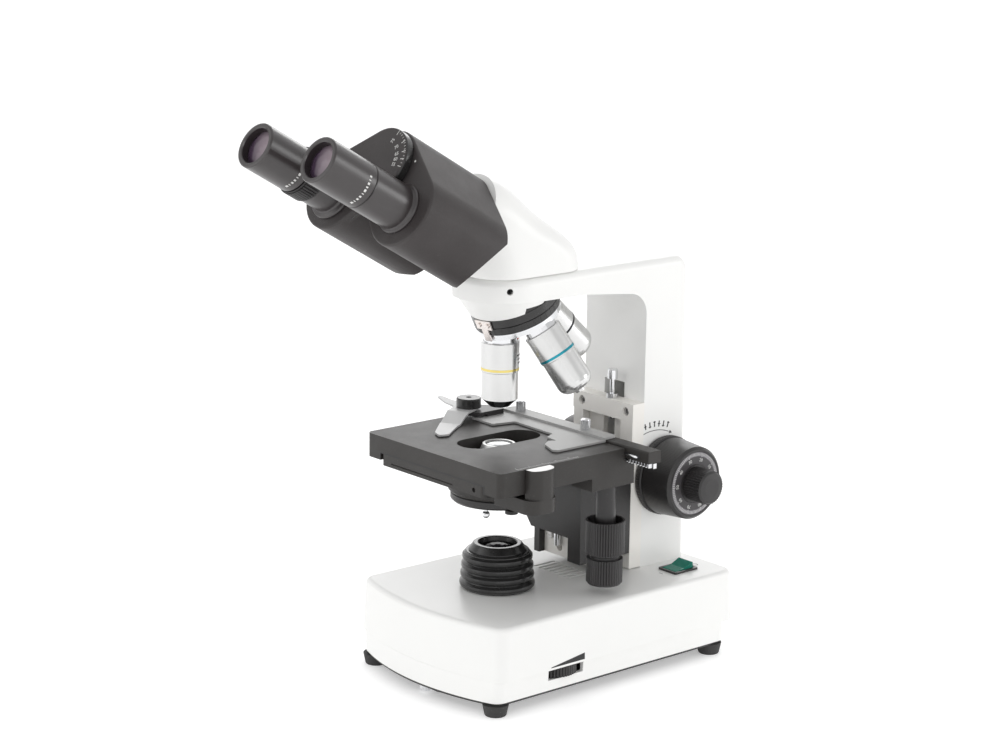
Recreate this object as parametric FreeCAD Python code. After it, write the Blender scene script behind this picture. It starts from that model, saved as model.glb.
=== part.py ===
import FreeCAD, Part
import math
import os
from FreeCAD import Vector, Rotation, Placement

# Binocular compound microscope, millimetres, +Z up.
# Modelled with the optical axis on x = y = 0, the operator on the -Y side
# and the table at z = 0, then moved so the origin is the bottom centre.

# ---------------------------------------------------------------- sizes
base_half = 68.2
base_front = -53.0
base_rear = 144.3
base_bulge = 13.0
base_top = 56.4
seam_z = 23.0
band_bottom = 8.7
shell_wall = 3.0

arm_half = 27.9
column_front = 97.5
column_rear = 137.4
arm_top = 257.8
nose_radius = 30.0

drive_y = 116.0
drive_z = 116.0
drive_module = 0.75
drive_teeth = 18

stage_half = 64.4
stage_front = -54.0
stage_top_z = 151.8
stage_split_z = 141.0
stage_under_z = 133.5

coax_x = 54.0
coax_y = 41.5
xy_module = 0.8
x_teeth = 20
y_teeth = 14

nose_tilt = 24.0
nose_apex = 261.0
shoulder_z = 214.3
plate_radius = 28.0
plate_depth = 5.6
turret_radius = 27.8
objective_radius = 12.0

head_tilt = 30.0
hinge_v = 242.2
tube_x = 27.7
tube_v = 217.6
tube_radius = 14.1
housing_back = 175.6
housing_front = 242.3
dial_front = 248.5

run_fit = 0.05
air = 0.3

parts = {}


# -------------------------------------------------------------- helpers
def block(x0, x1, y0, y1, z0, z1):
    return Part.makeBox(x1 - x0, y1 - y0, z1 - z0, Vector(x0, y0, z0))


def rod(radius, z0, z1, x=0.0, y=0.0):
    return Part.makeCylinder(radius, z1 - z0, Vector(x, y, z0), Vector(0, 0, 1))


def rod_x(radius, x0, x1, y, z):
    return Part.makeCylinder(radius, x1 - x0, Vector(x0, y, z), Vector(1, 0, 0))


def tube(outer, inner, z0, z1, x=0.0, y=0.0):
    return rod(outer, z0, z1, x, y).cut(rod(inner, z0 - 1, z1 + 1, x, y))


def spin(profile):
    """Solid of revolution about Z from (radius, height) points."""
    points = [Vector(r, 0, z) for r, z in profile]
    face = Part.Face(Part.makePolygon(points + points[:1]))
    return face.revolve(Vector(0, 0, 0), Vector(0, 0, 1), 360)


def round_wire(points, radii, place):
    """Closed wire of straight sides with an arc at each corner."""
    count = len(points)
    edges = []
    starts = []
    ends = []
    mids = []
    for i in range(count):
        before = Vector(*points[i - 1], 0)
        here = Vector(*points[i], 0)
        after = Vector(*points[(i + 1) % count], 0)
        into = (here - before).normalize()
        away = (after - here).normalize()
        turn = math.acos(max(-1.0, min(1.0, into.dot(away))))
        cut_back = radii[i] * math.tan(turn / 2)
        start = here - into * cut_back
        end = here + away * cut_back
        inward = (away - into).normalize()
        centre = here + inward * (radii[i] / math.cos(turn / 2))
        starts.append(start)
        ends.append(end)
        mids.append(centre - inward * radii[i])
    for i in range(count):
        if radii[i] > 0:
            arc = Part.Arc(place(starts[i]), place(mids[i]), place(ends[i]))
            edges.append(arc.toShape())
        nxt = (i + 1) % count
        if (ends[i] - starts[nxt]).Length > 1e-6:
            edges.append(Part.makeLine(place(ends[i]), place(starts[nxt])))
    return Part.Wire(edges)


def slab(points, radii, z0, z1):
    """Plate with rounded corners, outline in XY, from z0 to z1."""
    wire = round_wire(points, radii, lambda p: Vector(p.x, p.y, z0))
    return Part.Face(wire).extrude(Vector(0, 0, z1 - z0))


def side_slab(points, radii, x0, x1):
    """Plate whose outline is drawn in YZ, from x0 to x1."""
    wire = round_wire(points, radii, lambda p: Vector(x0, p.x, p.y))
    return Part.Face(wire).extrude(Vector(x1 - x0, 0, 0))


def rect(x0, x1, y0, y1):
    return [(x0, y0), (x1, y0), (x1, y1), (x0, y1)]


def knurled(outer, depth, count, z0, z1, x=0.0, y=0.0):
    """Drum with straight ribs all round."""
    points = []
    for i in range(count):
        for share, radius in ((0.0, outer - depth), (0.3, outer), (0.7, outer)):
            angle = 2 * math.pi * (i + share) / count
            px = x + radius * math.cos(angle)
            py = y + radius * math.sin(angle)
            points.append(Vector(px, py, z0))
    face = Part.Face(Part.makePolygon(points + points[:1]))
    return face.extrude(Vector(0, 0, z1 - z0))


def involute(angle):
    return math.tan(angle) - angle


def pinion(module, teeth, addendum, z0, z1):
    """Spur gear about Z with one tooth centred on +X."""
    pitch = module * teeth / 2
    base = pitch * math.cos(math.radians(20))
    root = pitch - 1.2 * module
    tip = pitch + addendum
    half = math.pi / (2 * teeth) - 0.035 / pitch
    at_pitch = involute(math.radians(20))
    flank = []
    low = max(base, root)
    for i in range(7):
        radius = low + (tip - low) * i / 6
        pressure = math.acos(min(1.0, base / radius))
        flank.append((radius, half + at_pitch - involute(pressure)))
    if root < base:
        flank.insert(0, (root, flank[0][1]))
    points = []
    for tooth in range(teeth):
        centre = 2 * math.pi * tooth / teeth
        for radius, angle in flank:
            points.append((radius, centre - angle))
        for radius, angle in reversed(flank):
            points.append((radius, centre + angle))
    ring = [Vector(r * math.cos(a), r * math.sin(a), z0) for r, a in points]
    face = Part.Face(Part.makePolygon(ring + ring[:1]))
    return face.extrude(Vector(0, 0, z1 - z0))


def rack_outline(module, addendum, back, low, high):
    """Rack teeth pointing to +v along u, pitch line at v = 0, gap at u = 0."""
    pitch = math.pi * module
    lean = math.tan(math.radians(20))
    half = pitch / 4 - 0.035
    depth = 1.15 * module
    first = math.ceil((low + pitch) / pitch - 0.5)
    last = math.floor((high - pitch) / pitch - 0.5)
    points = [(low, back), (low, -depth)]
    for i in range(first, last + 1):
        centre = (i + 0.5) * pitch
        points.append((centre - half - depth * lean, -depth))
        points.append((centre - half + addendum * lean, addendum))
        points.append((centre + half - addendum * lean, addendum))
        points.append((centre + half + depth * lean, -depth))
    points += [(high, -depth), (high, back)]
    return points


def prism(points, push):
    face = Part.Face(Part.makePolygon(points + points[:1]))
    return face.extrude(push)


def outward_solid(shape):
    """The single solid of a result, turned the right way out."""
    solids = shape.Solids
    biggest = max(solids, key=lambda s: s.Volume)
    return biggest


def rounded(shape, radius, wanted):
    """Fillet the edges that the test picks."""
    edges = [edge for edge in shape.Edges if wanted(edge)]
    return shape.makeFillet(radius, edges)


def edge_is_upright(edge):
    box = edge.BoundBox
    return box.ZLength > 1.2 and box.XLength < 3 and box.YLength < 3


def cut_beyond(shape, point, normal):
    """Remove what lies past a plane, on the side its normal points to."""
    half_space = Part.makeBox(300, 300, 150, Vector(-150, -150, 0))
    half_space.Placement = Placement(point, Rotation(Vector(0, 0, 1), normal))
    return shape.cut(half_space)


def keep(name, shape):
    parts[name] = shape


def joined(shapes):
    return shapes[0].multiFuse(shapes[1:]).removeSplitter()


def group(shapes):
    return Part.makeCompound(shapes)


# ------------------------------------------------------------- the base
def base_wire(half, front, rear, bulge, z):
    left = Vector(-half, front, z)
    right = Vector(half, front, z)
    back_right = Vector(half, rear, z)
    back_left = Vector(-half, rear, z)
    bow = Part.Arc(left, Vector(0, front - bulge, z), right).toShape()
    side = Part.makeLine(right, back_right)
    back = Part.makeLine(back_right, back_left)
    other = Part.makeLine(back_left, left)
    return Part.Wire([bow, side, back, other])


def base_solid(lower, upper, corner):
    body = Part.makeLoft([lower, upper], True, True)
    return rounded(body, corner, edge_is_upright)


shell = base_solid(
    base_wire(base_half + 1.2, base_front - 1.5, base_rear + 1.3, base_bulge, seam_z),
    base_wire(base_half, base_front, base_rear, base_bulge, base_top),
    9.0,
)
shell = rounded(shell, 3.5, lambda e: e.BoundBox.ZMin > base_top - 0.01)
core = base_solid(
    base_wire(base_half - 2, base_front + 1.5, base_rear - 2, base_bulge, seam_z - 1),
    base_wire(base_half - 3, base_front + 3, base_rear - 3, base_bulge, base_top - shell_wall),
    6.0,
)
shell = shell.cut(core)
lamp_hole = rod(20.9, base_top - 10, base_top + 5)
shell = shell.cut(lamp_hole)
switch_x = 45.8
switch_y = 114.5
switch_hole = block(switch_x - 7.2, switch_x + 7.2, switch_y - 9.4, switch_y + 9.4, base_top - 12, base_top + 4)
shell = shell.cut(switch_hole)
vent_count = 8
for i in range(vent_count):
    vent_x = -16.4 + i * 32.8 / (vent_count - 1)
    vent = slab(rect(vent_x - 1.0, vent_x + 1.0, 45.5, 63.5), [0.95] * 4, base_top - 6, base_top + 4)
    shell = shell.cut(vent)
inlet_x = -26.0
inlet_z = 38.0
inlet_hole = block(inlet_x - 12, inlet_x + 12, 130, 150, inlet_z - 8.5, inlet_z + 8.5)
shell = shell.cut(inlet_hole)
keep("base_housing", outward_solid(shell))

band_half = base_half - 1.6
band_front = base_front - 1.5
band_rear = 141.0
band = base_solid(
    base_wire(band_half - 0.6, band_front, band_rear, base_bulge, band_bottom),
    base_wire(band_half, band_front, band_rear, base_bulge, seam_z),
    8.0,
)
band_core = base_solid(
    base_wire(band_half - 3.6, band_front + 3, band_rear - 3, base_bulge, band_bottom - 1),
    base_wire(band_half - 3, band_front + 3, band_rear - 3, base_bulge, seam_z + 1),
    6.0,
)
band = band.cut(band_core)
wheel_x = band_half - 14.0
wheel_y = -0.3
wheel_low = 15.8
wheel_high = 22.2
wheel_slot = block(band_half - 8.6, band_half + 5.4, wheel_y - 14.2, wheel_y + 14.2, wheel_low - 0.5, seam_z + 1)
band = band.cut(wheel_slot)
keep("base_band", outward_solid(band))

plate_low = 7.2
plate = base_solid(
    base_wire(band_half - 1.6, band_front + 1, band_rear - 1, base_bulge, plate_low),
    base_wire(band_half - 1.6, band_front + 1, band_rear - 1, base_bulge, band_bottom),
    7.0,
)
foot_x = base_half - 9.2
feet_at = [(-foot_x, -50.5), (foot_x, -50.5), (foot_x, 131.5), (-foot_x, 131.5)]
feet = []
screws = []
for x, y in feet_at:
    plate = plate.cut(rod(2.1, 0, 20, x, y))
    foot = spin([(2.1, 2.6), (4.2, 2.6), (4.2, 0), (6.4, 0), (6.8, 0.5), (8.1, 6.6),
                 (8.1, plate_low), (2.1, plate_low)])
    foot.translate(Vector(x, y, 0))
    feet.append(foot)
    screw = spin([(0, 1.4), (1.0, 1.4), (1.0, 0.9), (3.3, 0.9), (3.7, 1.4), (3.7, 2.55),
                  (2.0, 2.55), (2.0, 11.5), (0, 12.5)])
    screw.translate(Vector(x, y, 0))
    screws.append(screw)
keep("bottom_plate", outward_solid(plate))
keep("rubber_feet", group(feet))
keep("foot_screws", group(screws))

door_low = 5.6
door = slab([(-22, -63), (22, -63), (22, -20), (-22, -20)], [4, 4, 4, 4], door_low, plate_low)
door_screw_x = 2.0
door_screw_y = -58.0
door = door.cut(rod(1.6, 0, 10, door_screw_x, door_screw_y))
floor_plate = parts["bottom_plate"].cut(rod(1.6, 0, 20, door_screw_x, door_screw_y))
keep("bottom_plate", group([floor_plate, door]))
door_screw = knurled(4.4, 0.35, 28, 1.8, door_low - 0.1, door_screw_x, door_screw_y)
door_screw = door_screw.fuse(rod(1.6 - run_fit, door_low - 1, 10.5, door_screw_x, door_screw_y))
keep("door_thumb_screw", door_screw.cut(block(-4, 8, door_screw_y - 0.5, door_screw_y + 0.5, 0, 2.6)))

# Lamp, board and dimmer inside the base.
lamp_socket = joined([rod(11, plate_low + 1.5, 14), rod(8, 14, 26).cut(rod(5.0, 20, 27))])
bulb = spin([(0, 20.1), (4.9, 20.1), (4.9, 27), (6.5, 32), (6.5, 38), (4.5, 42), (0, 43.5)])
keep("lamp", group([lamp_socket, bulb]))
board = block(-48, 40, 72, 128, 14, 15.6)
stands = [rod(3, band_bottom, 14, x, y) for x in (-42, 34) for y in (78, 122)]
board_parts = [board] + stands
board_parts.append(block(-40, -4, 80, 116, 15.6, 44))
board_parts.append(rod(6, 15.6, 36, 10, 86))
board_parts.append(rod(5, 15.6, 30, 26, 88))
board_parts.append(block(6, 32, 104, 109, 15.6, 38))
spindle = rod(3.0, 14, wheel_high - 0.4, wheel_x, wheel_y)
dimmer_case = rod(9, band_bottom, 15.0, wheel_x, wheel_y)
keep("power_board", group([joined(board_parts), joined([dimmer_case, spindle])]))
wheel = knurled(15.9, 0.7, 48, wheel_low, wheel_high, wheel_x, wheel_y)
wheel = wheel.cut(rod(3.0 + run_fit, 10, 30, wheel_x, wheel_y))
wheel = wheel.cut(tube(12.5, 6.0, wheel_high - 1.2, wheel_high + 1, wheel_x, wheel_y))
keep("dimmer_wheel", wheel)

bezel = slab(rect(switch_x - 8.1, switch_x + 8.1, switch_y - 10.3, switch_y + 10.3), [1.2] * 4,
             base_top, base_top + 1.3)
bezel_box = block(switch_x - 7.1, switch_x + 7.1, switch_y - 9.3, switch_y + 9.3, base_top - 14.4, base_top)
bezel_well = block(switch_x - 6.4, switch_x + 6.4, switch_y - 8.8, switch_y + 8.8, base_top - 7.4, base_top + 6)
bezel = bezel.fuse(bezel_box).cut(bezel_well)
pivot_z = base_top + 0.4
rocker_profile = [(-8.2, -1.3), (7.6, -1.3), (7.0, 5.0), (-0.5, 1.6), (-8.0, 0.9)]
rocker_points = [(switch_y + y, pivot_z + z) for y, z in rocker_profile]
rocker = side_slab(rocker_points, [0.3, 0.3, 0.6, 0.3, 0.5], switch_x - 6.1, switch_x + 6.1)
rocker = rocker.fuse(rod_x(1.5, switch_x - 6.1, switch_x + 6.1, switch_y, pivot_z - 1.8))
pins = rod_x(1.0, switch_x - 6.9, switch_x + 6.9, switch_y, pivot_z - 1.8)
rocker = rocker.fuse(pins)
bezel = bezel.cut(rod_x(1.0 + run_fit, switch_x - 7.0, switch_x + 7.0, switch_y, pivot_z - 1.8))
keep("switch_bezel", bezel)
keep("switch_rocker", rocker)

inlet = side_slab([(131, inlet_z - 8), (145.4, inlet_z - 8), (145.4, inlet_z + 8), (131, inlet_z + 8)],
                  [0, 0, 0, 0], inlet_x - 11.8, inlet_x + 11.8)
flange = block(inlet_x - 15.5, inlet_x + 15.5, 145.7, 147.6, inlet_z - 11, inlet_z + 11)
flange = rounded(flange, 3, lambda e: abs(e.BoundBox.YLength - 1.9) < 0.01)
inlet = inlet.fuse(block(inlet_x - 11.8, inlet_x + 11.8, 145, 146, inlet_z - 8, inlet_z + 8)).fuse(flange)
socket_wall = [(inlet_x - 10, inlet_z - 6.4), (inlet_x + 10, inlet_z - 6.4), (inlet_x + 10, inlet_z + 2.5),
               (inlet_x + 6.5, inlet_z + 6.4), (inlet_x - 6.5, inlet_z + 6.4), (inlet_x - 10, inlet_z + 2.5)]
mouth = prism([Vector(x, 135, z) for x, z in socket_wall], Vector(0, 20, 0))
inlet = inlet.cut(mouth)
keep("power_inlet", outward_solid(inlet))
blades = []
for x, z in ((-6, 0), (0, 2.6), (6, 0)):
    blades.append(block(inlet_x + x - 1, inlet_x + x + 1, 133.5, 144, inlet_z + z - 2.2, inlet_z + z + 2.2))
blade_set = group(blades)
keep("power_inlet", group([outward_solid(parts["power_inlet"].cut(blade_set)), blade_set]))

# -------------------------------------------------------- illuminator
rib_radii = [23.9, 23.4, 22.9, 22.3]
rib_height = 5.8
groove = 1.9
rib_top = 80.6
outline = [(20.8, base_top - 6.4), (20.8, base_top)]
for i, radius in enumerate(rib_radii):
    foot = base_top + 0.5 + i * rib_height
    outline.append((radius - groove, foot))
    for j in range(5):
        angle = math.radians(-90 + 45 * j)
        bulge = radius - 0.9 + 0.9 * math.cos(angle)
        outline.append((bulge, foot + 2.55 + 1.75 * math.sin(angle)))
    outline.append((radius - groove, foot + 5.1))
outline.append((rib_radii[-1] - groove, rib_top - 0.6))
outline.append((rib_radii[-1] - groove - 0.6, rib_top))
outline.append((17.0, rib_top))
outline.append((17.0, base_top + 9.6))
outline.append((18.4, base_top + 5.6))
outline.append((18.4, base_top - 6.4))
keep("illuminator_housing", spin(outline))
ring_top = 85.4
lens_radius = 11.5
lens_low = 74.0
dome_rise = 6.4
lens_ring = spin([(lens_radius + 0.1, lens_low - 0.4), (16.9, lens_low - 0.4), (16.9, rib_top + 0.02),
                  (18.2, rib_top + 0.02), (18.2, 81.4), (15.4, ring_top - 0.3), (14.9, ring_top),
                  (12.7, ring_top), (12.2, ring_top - 0.5), (lens_radius + 0.1, ring_top - 3.0)])
keep("illuminator_ring", lens_ring)
dome = [(0, lens_low), (lens_radius, lens_low), (lens_radius, lens_low + 4.2)]
for i in range(1, 8):
    angle = math.radians(90 * i / 8)
    dome.append((lens_radius * math.cos(angle), lens_low + 4.2 + dome_rise * math.sin(angle)))
dome.append((0, lens_low + 4.2 + dome_rise))
keep("field_lens", spin(dome))

# ----------------------------------------------------- column and arm
arm_side = [(column_rear, base_top), (133.6, arm_top), (-40, arm_top), (-40, 243.6), (45, 242.4),
            (column_front, 236.7), (column_front, base_top)]
arm = side_slab(list(reversed(arm_side)), [0, 15, 0, 0, 0, 9, 0], -34, 34)
reach = 60.0
gap = math.hypot(arm_half, reach)
swing = math.atan2(reach, arm_half)
touch = swing - math.acos(nose_radius / gap)
tangent = Vector(nose_radius * math.cos(touch), nose_radius * math.sin(touch), 0)
mirror = Vector(-tangent.x, tangent.y, 0)
plan = Part.Wire([
    Part.Arc(mirror, Vector(0, -nose_radius, 0), tangent).toShape(),
    Part.makeLine(tangent, Vector(arm_half, reach, 0)),
    Part.makeLine(Vector(arm_half, reach, 0), Vector(arm_half, 150, 0)),
    Part.makeLine(Vector(arm_half, 150, 0), Vector(-arm_half, 150, 0)),
    Part.makeLine(Vector(-arm_half, 150, 0), Vector(-arm_half, reach, 0)),
    Part.makeLine(Vector(-arm_half, reach, 0), mirror),
])
arm = arm.common(Part.Face(plan).extrude(Vector(0, 0, 300)))
arm = rounded(arm, 5.0, lambda e: e.BoundBox.ZLength > 150 and e.BoundBox.YMin > 130)

tilt = math.radians(nose_tilt)
nose_axis = Vector(0, math.sin(tilt), -math.cos(tilt))
apex = Vector(0, 0, nose_apex)
nose_place = Placement(apex, Rotation(Vector(1, 0, 0), nose_tilt))
rim_depth = 21.9
cup_top = 246.5
cup_depth = 20.5
cup_end_y = -3.0
cup_upper = Part.Wire(Part.makeCircle(nose_radius - 0.3, Vector(0, 0, cup_top), Vector(0, 0, 1)))
cup_lower = Part.Wire(Part.makeCircle(25.56, Vector(0, 11.67, cup_top - cup_depth), Vector(0, 0, 1)))
cup = Part.makeLoft([cup_lower, cup_upper], True, False)
cup = cut_beyond(cup, apex + nose_axis * rim_depth, nose_axis)
underside = 243.0
underside_low = 239.2
underside_run = 22.0
below_cup = [(cup_end_y, 200), (80, 200), (80, underside), (underside_run, underside), (cup_end_y, underside_low)]
cup = cup.cut(prism([Vector(-60, y, z) for y, z in below_cup], Vector(120, 0, 0)))
arm = arm.fuse(cup)
turret_room = rod(plate_radius + 0.8, -60, -rim_depth)
turret_room.Placement = nose_place
arm = arm.cut(turret_room)
arm = arm.cut(rod(12.5, 215, 256))
clamp_z = 250.6
spigot_low = clamp_z - 2.8
arm = arm.cut(rod(20.3, spigot_low - 0.3, 262))
drive_cavity = block(-9.3, 9.3, column_front - 1, 126, 62, 176)
arm = arm.cut(drive_cavity)
drive_bore = rod_x(4.6 + run_fit, -40, 40, drive_y, drive_z)
arm = arm.cut(drive_bore)
clamp_angle = math.radians(-30)
clamp_way = Vector(math.cos(clamp_angle), math.sin(clamp_angle), 0)
clamp_bore = Part.makeCylinder(2.0, 16, Vector(0, 0, clamp_z) + clamp_way * 19, clamp_way)
arm = arm.cut(clamp_bore)
clamp_screw = Part.makeCylinder(1.95, 6.5, Vector(0, 0, clamp_z) + clamp_way * 20.4, clamp_way)
hex_bite = Part.makeCylinder(1.0, 3, Vector(0, 0, clamp_z) + clamp_way * 24.5, clamp_way)
clamp_screw = clamp_screw.cut(hex_bite)
keep("arm_column", outward_solid(arm))

# ------------------------------------------------------- guide rails
rail_front = 87.6
rail_back = 93.5
rail_top = 154.2
channel_left = -18.7
channel_right = 16.8
rails = block(-27.4, 28.0, rail_front, column_front, base_top + 0.8, rail_top)
rails = rails.cut(block(channel_left, channel_right, rail_front - 1, rail_back, 50, 160))
rails = rails.cut(block(-5.2, 5.2, rail_back - 1, column_front + 1, 64, 160))
bar_top = 165.9
top_bar = block(-28.2, 28.2, rail_front, column_front, rail_top, bar_top)
bar_screws = []
for x in (-19.9, 21.2):
    hole = Part.makeCylinder(2.9, 4.5, Vector(x, rail_front - 0.01, 160.3), Vector(0, 1, 0))
    top_bar = top_bar.cut(hole)
    screw = Part.makeCylinder(2.8, 3.0, Vector(x, rail_front + 1.45, 160.3), Vector(0, 1, 0))
    bite = Part.makeCylinder(1.4, 2.0, Vector(x, rail_front + 1.4, 160.3), Vector(0, 1, 0))
    bar_screws.append(screw.cut(bite))
stop_x = 4.5
stop_y = 91.4
top_bar = top_bar.cut(rod(1.75, rail_top - 1, bar_top + 1, stop_x, stop_y))
keep("guide_rails", group([rails, top_bar]))
keep("socket_screws", group(bar_screws + [clamp_screw]))
stop_nut = spin([(1.72, bar_top + 0.1), (3.8, bar_top + 0.1), (3.8, bar_top + 3.1), (1.72, bar_top + 3.1)])
stop_nut.translate(Vector(stop_x, stop_y, 0))
stop_bolt = spin([(0, 152.5), (1.7, 152.5), (1.7, 178.0), (3.3, 178.4), (3.3, 184.2), (2.9, 184.8),
                  (0, 184.8)])
stop_bolt.translate(Vector(stop_x, stop_y, 0))
keep("stop_screw", group([stop_bolt, stop_nut]))

# ----------------------------------------------------- focus drive
def about_x(shape, x=0.0):
    """Turn a shape spun about Z so its axis lies along +X at the drive."""
    turned = shape.copy()
    turned.rotate(Vector(0, 0, 0), Vector(0, 1, 0), 90)
    turned.translate(Vector(x, drive_y, drive_z))
    return turned


def mirrored_x(shape):
    return shape.mirror(Vector(0, 0, 0), Vector(1, 0, 0))


knob_out = 57.3
collar = spin([(5.6, 28.4), (25.0, 28.4), (25.7, 29.1), (25.7, 32.9), (25.0, 33.6), (5.6, 33.6)])
collar_ribs = knurled(25.9, 0.5, 72, 29.4, 32.6).cut(rod(20, 20, 40))
keep("tension_collar", about_x(joined([collar, collar_ribs])))
knob_profile = [(4.65, 34.0), (24.6, 34.0), (25.2, 34.6), (23.6, 55.6), (22.0, knob_out),
                (20.6, knob_out), (20.4, 56.5), (12.6, 56.5), (12.4, knob_out), (4.65, knob_out)]
right_knob = about_x(spin(knob_profile))
left_profile = [(4.65, 28.5), (24.6, 28.5), (25.2, 29.2), (25.2, 33.0), (24.4, 33.4), (24.4, 34.0),
                (25.2, 34.6), (23.6, 55.6), (22.0, knob_out), (4.65, knob_out)]
left_knob = mirrored_x(about_x(spin(left_profile)))
scale_ring = spin([(12.7, 56.52), (20.3, 56.52), (20.3, knob_out - 0.15), (12.7, knob_out - 0.15)])
keep("coarse_knobs", group([right_knob, left_knob, about_x(scale_ring)]))
drive_pitch = drive_module * drive_teeth / 2
gear = pinion(drive_module, drive_teeth, 0.62, -4.2, 4.2)
gear.rotate(Vector(0, 0, 0), Vector(0, 0, 1), 270)
gear = gear.fuse(rod(4.6, -52, 52)).cut(rod(2.55, -60, 60))
keep("coarse_sleeve", about_x(gear))
fine_far = 72.5
fine_right = knurled(10.9, 0.5, 40, knob_out + 0.3, fine_far - 1.4)
fine_right = fine_right.fuse(spin([(0, fine_far - 1.4), (10.5, fine_far - 1.4), (9.6, fine_far - 0.5),
                                   (6, fine_far), (0, fine_far)]))
fine_right = fine_right.cut(rod(2.52, 40, 66))
fine_right = about_x(fine_right)
fine_left = mirrored_x(fine_right)
keep("fine_knobs", group([fine_right, fine_left]))
keep("fine_shaft", about_x(rod(2.5, -65.5, 65.5)))

# --------------------------------------------------- focus slider
slide_gap = 0.06
tongue_back = rail_back - 0.25
slider_top = 126.0
cheek_right = block(16.4, 28.0, 44.5, 87.3, 68.0, slider_top)
cheek_left = block(-28.0, -23.0, 55.4, 87.3, 62.6, slider_top)
front_shape = [Vector(-28, 44.5, slider_top), Vector(-28, 44.5, 94.7), Vector(-19.0, 44.5, 83.3),
               Vector(28, 44.5, 83.3), Vector(28, 44.5, slider_top)]
upper_block = prism(front_shape, Vector(0, 42.8, 0))
foot_block = block(-24.0, 18.0, 70.0, 87.3, 64.0, 90.0)
tongue = block(channel_left + slide_gap, channel_right - slide_gap, 86.5, tongue_back, 64.0, slider_top)
slider = joined([cheek_right, cheek_left, upper_block, foot_block, tongue])
guide_x = -5.0
guide_y = 66.0
slider = slider.cut(rod(5.0 + run_fit, 100, 130, guide_x, guide_y))
slider_web = block(-4.0, 4.0, tongue_back - 1, drive_y - drive_pitch - 0.8, 86.0, slider_top)
slider = slider.fuse(slider_web)
keep("slider_block", outward_solid(slider.removeSplitter()))
rack_pitch_y = drive_y - drive_pitch
rack_low = 86.0 - drive_z
rack_high = 134.0 - drive_z
rack_2d = rack_outline(drive_module, 0.62, -2.6, rack_low, rack_high)
rack_points = [Vector(-3.9, rack_pitch_y + v, drive_z + u) for u, v in rack_2d]
rack = prism(rack_points, Vector(7.8, 0, 0))
parts["slider_block"] = parts["slider_block"].cut(block(-5, 5, rack_pitch_y - 2.6, 120, 80, 140))
keep("slider_rack", rack)
inner_plate = block(-22.9, 16.3, 60.0, 64.5, 62.6, 83.2)
inner_plate = inner_plate.cut(Part.makeCylinder(2.6, 8, Vector(-8.5, 58, 68.5), Vector(0, 1, 0)))
inner_plate = inner_plate.cut(Part.makeCylinder(1.6, 8, Vector(3.5, 58, 66.5), Vector(0, 1, 0)))
inner_plate = inner_plate.fuse(block(-22.9, 16.3, 64.5, 69.95, 76, 83.2)).removeSplitter()
plate_pin = rod(2.3, 70.5, 80.5, -8.0, 57.6)
plate_screw = Part.makeCylinder(2.4, 1.4, Vector(-17.0, 58.6, 75.0), Vector(0, 1, 0))
plate_screw = plate_screw.cut(block(-20, -14, 58, 59.2, 74.7, 75.3))
keep("slider_plate", group([inner_plate, plate_pin, plate_screw]))

# ------------------------------------------------------- stage base
fine_gap = 0.8
bracket = block(-28, 28, 30, 86.8, slider_top + fine_gap, stage_under_z)
bracket = rounded(bracket, 4, lambda e: e.BoundBox.ZLength > 5 and e.BoundBox.YMax < 31)
guide_post = rod(5.0, 106, slider_top + fine_gap + 1, guide_x, guide_y)
mount_outer = 31.5
mount_inner = 26.4
mount_low = 119.5
ring_mount = rod(mount_outer, mount_low + 1.5, stage_under_z)
ring_mount = ring_mount.fuse(spin([(0, mount_low), (mount_outer - 1.5, mount_low),
                                   (mount_outer, mount_low + 1.5), (0, mount_low + 1.5)]))
stage_floor = slab(rect(-50, 49, -53.6, 72), [3, 3, 2, 2], stage_under_z, stage_split_z)
wing_end = stage_half + 8.8
wing = slab([(38, -36.5), (wing_end, -36.5), (wing_end, -13.5), (38, -13.5)], [2, 8, 8, 2], 124.8, stage_under_z)
post = slab([(stage_half + air, -34.5), (wing_end, -34.5), (wing_end, -15), (stage_half + air, -15)],
            [0, 7.5, 7.5, 0], 124.8, stage_top_z - 0.3)
wing_web = block(38, 49, -36.5, -13.5, 130, stage_under_z + 1)
stage_base = joined([bracket, guide_post, ring_mount, stage_floor, wing, post, wing_web])
stage_base = stage_base.cut(rod(mount_inner, mount_low - 1, 137.5))
stage_base = stage_base.cut(rod(16, 130, 145))
y_pitch = xy_module * y_teeth / 2
y_rack_x = coax_x - y_pitch
y_low = -32.0
y_high = 31.0
y_rack_2d = rack_outline(xy_module, 0.58, -3.0, y_low, y_high)
slot_for_rack = block(y_rack_x - 3.0, 60, coax_y + y_low, coax_y + y_high, stage_under_z - 1, 142)
stage_base = stage_base.cut(slot_for_rack)
stage_base = stage_base.cut(block(-40, 20, -54, -52.9, 135.6, 136.4))
front_screw = Part.makeCylinder(1.5, 1.2, Vector(40, -53.61, 137.2), Vector(0, 1, 0))
stage_base = stage_base.cut(front_screw)
keep("stage_base", outward_solid(stage_base))
y_rack_points = [Vector(y_rack_x + v, coax_y + u, stage_under_z + 0.4) for u, v in y_rack_2d]
keep("y_rack", prism(y_rack_points, Vector(0, 0, stage_split_z - stage_under_z - 0.4)))

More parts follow.
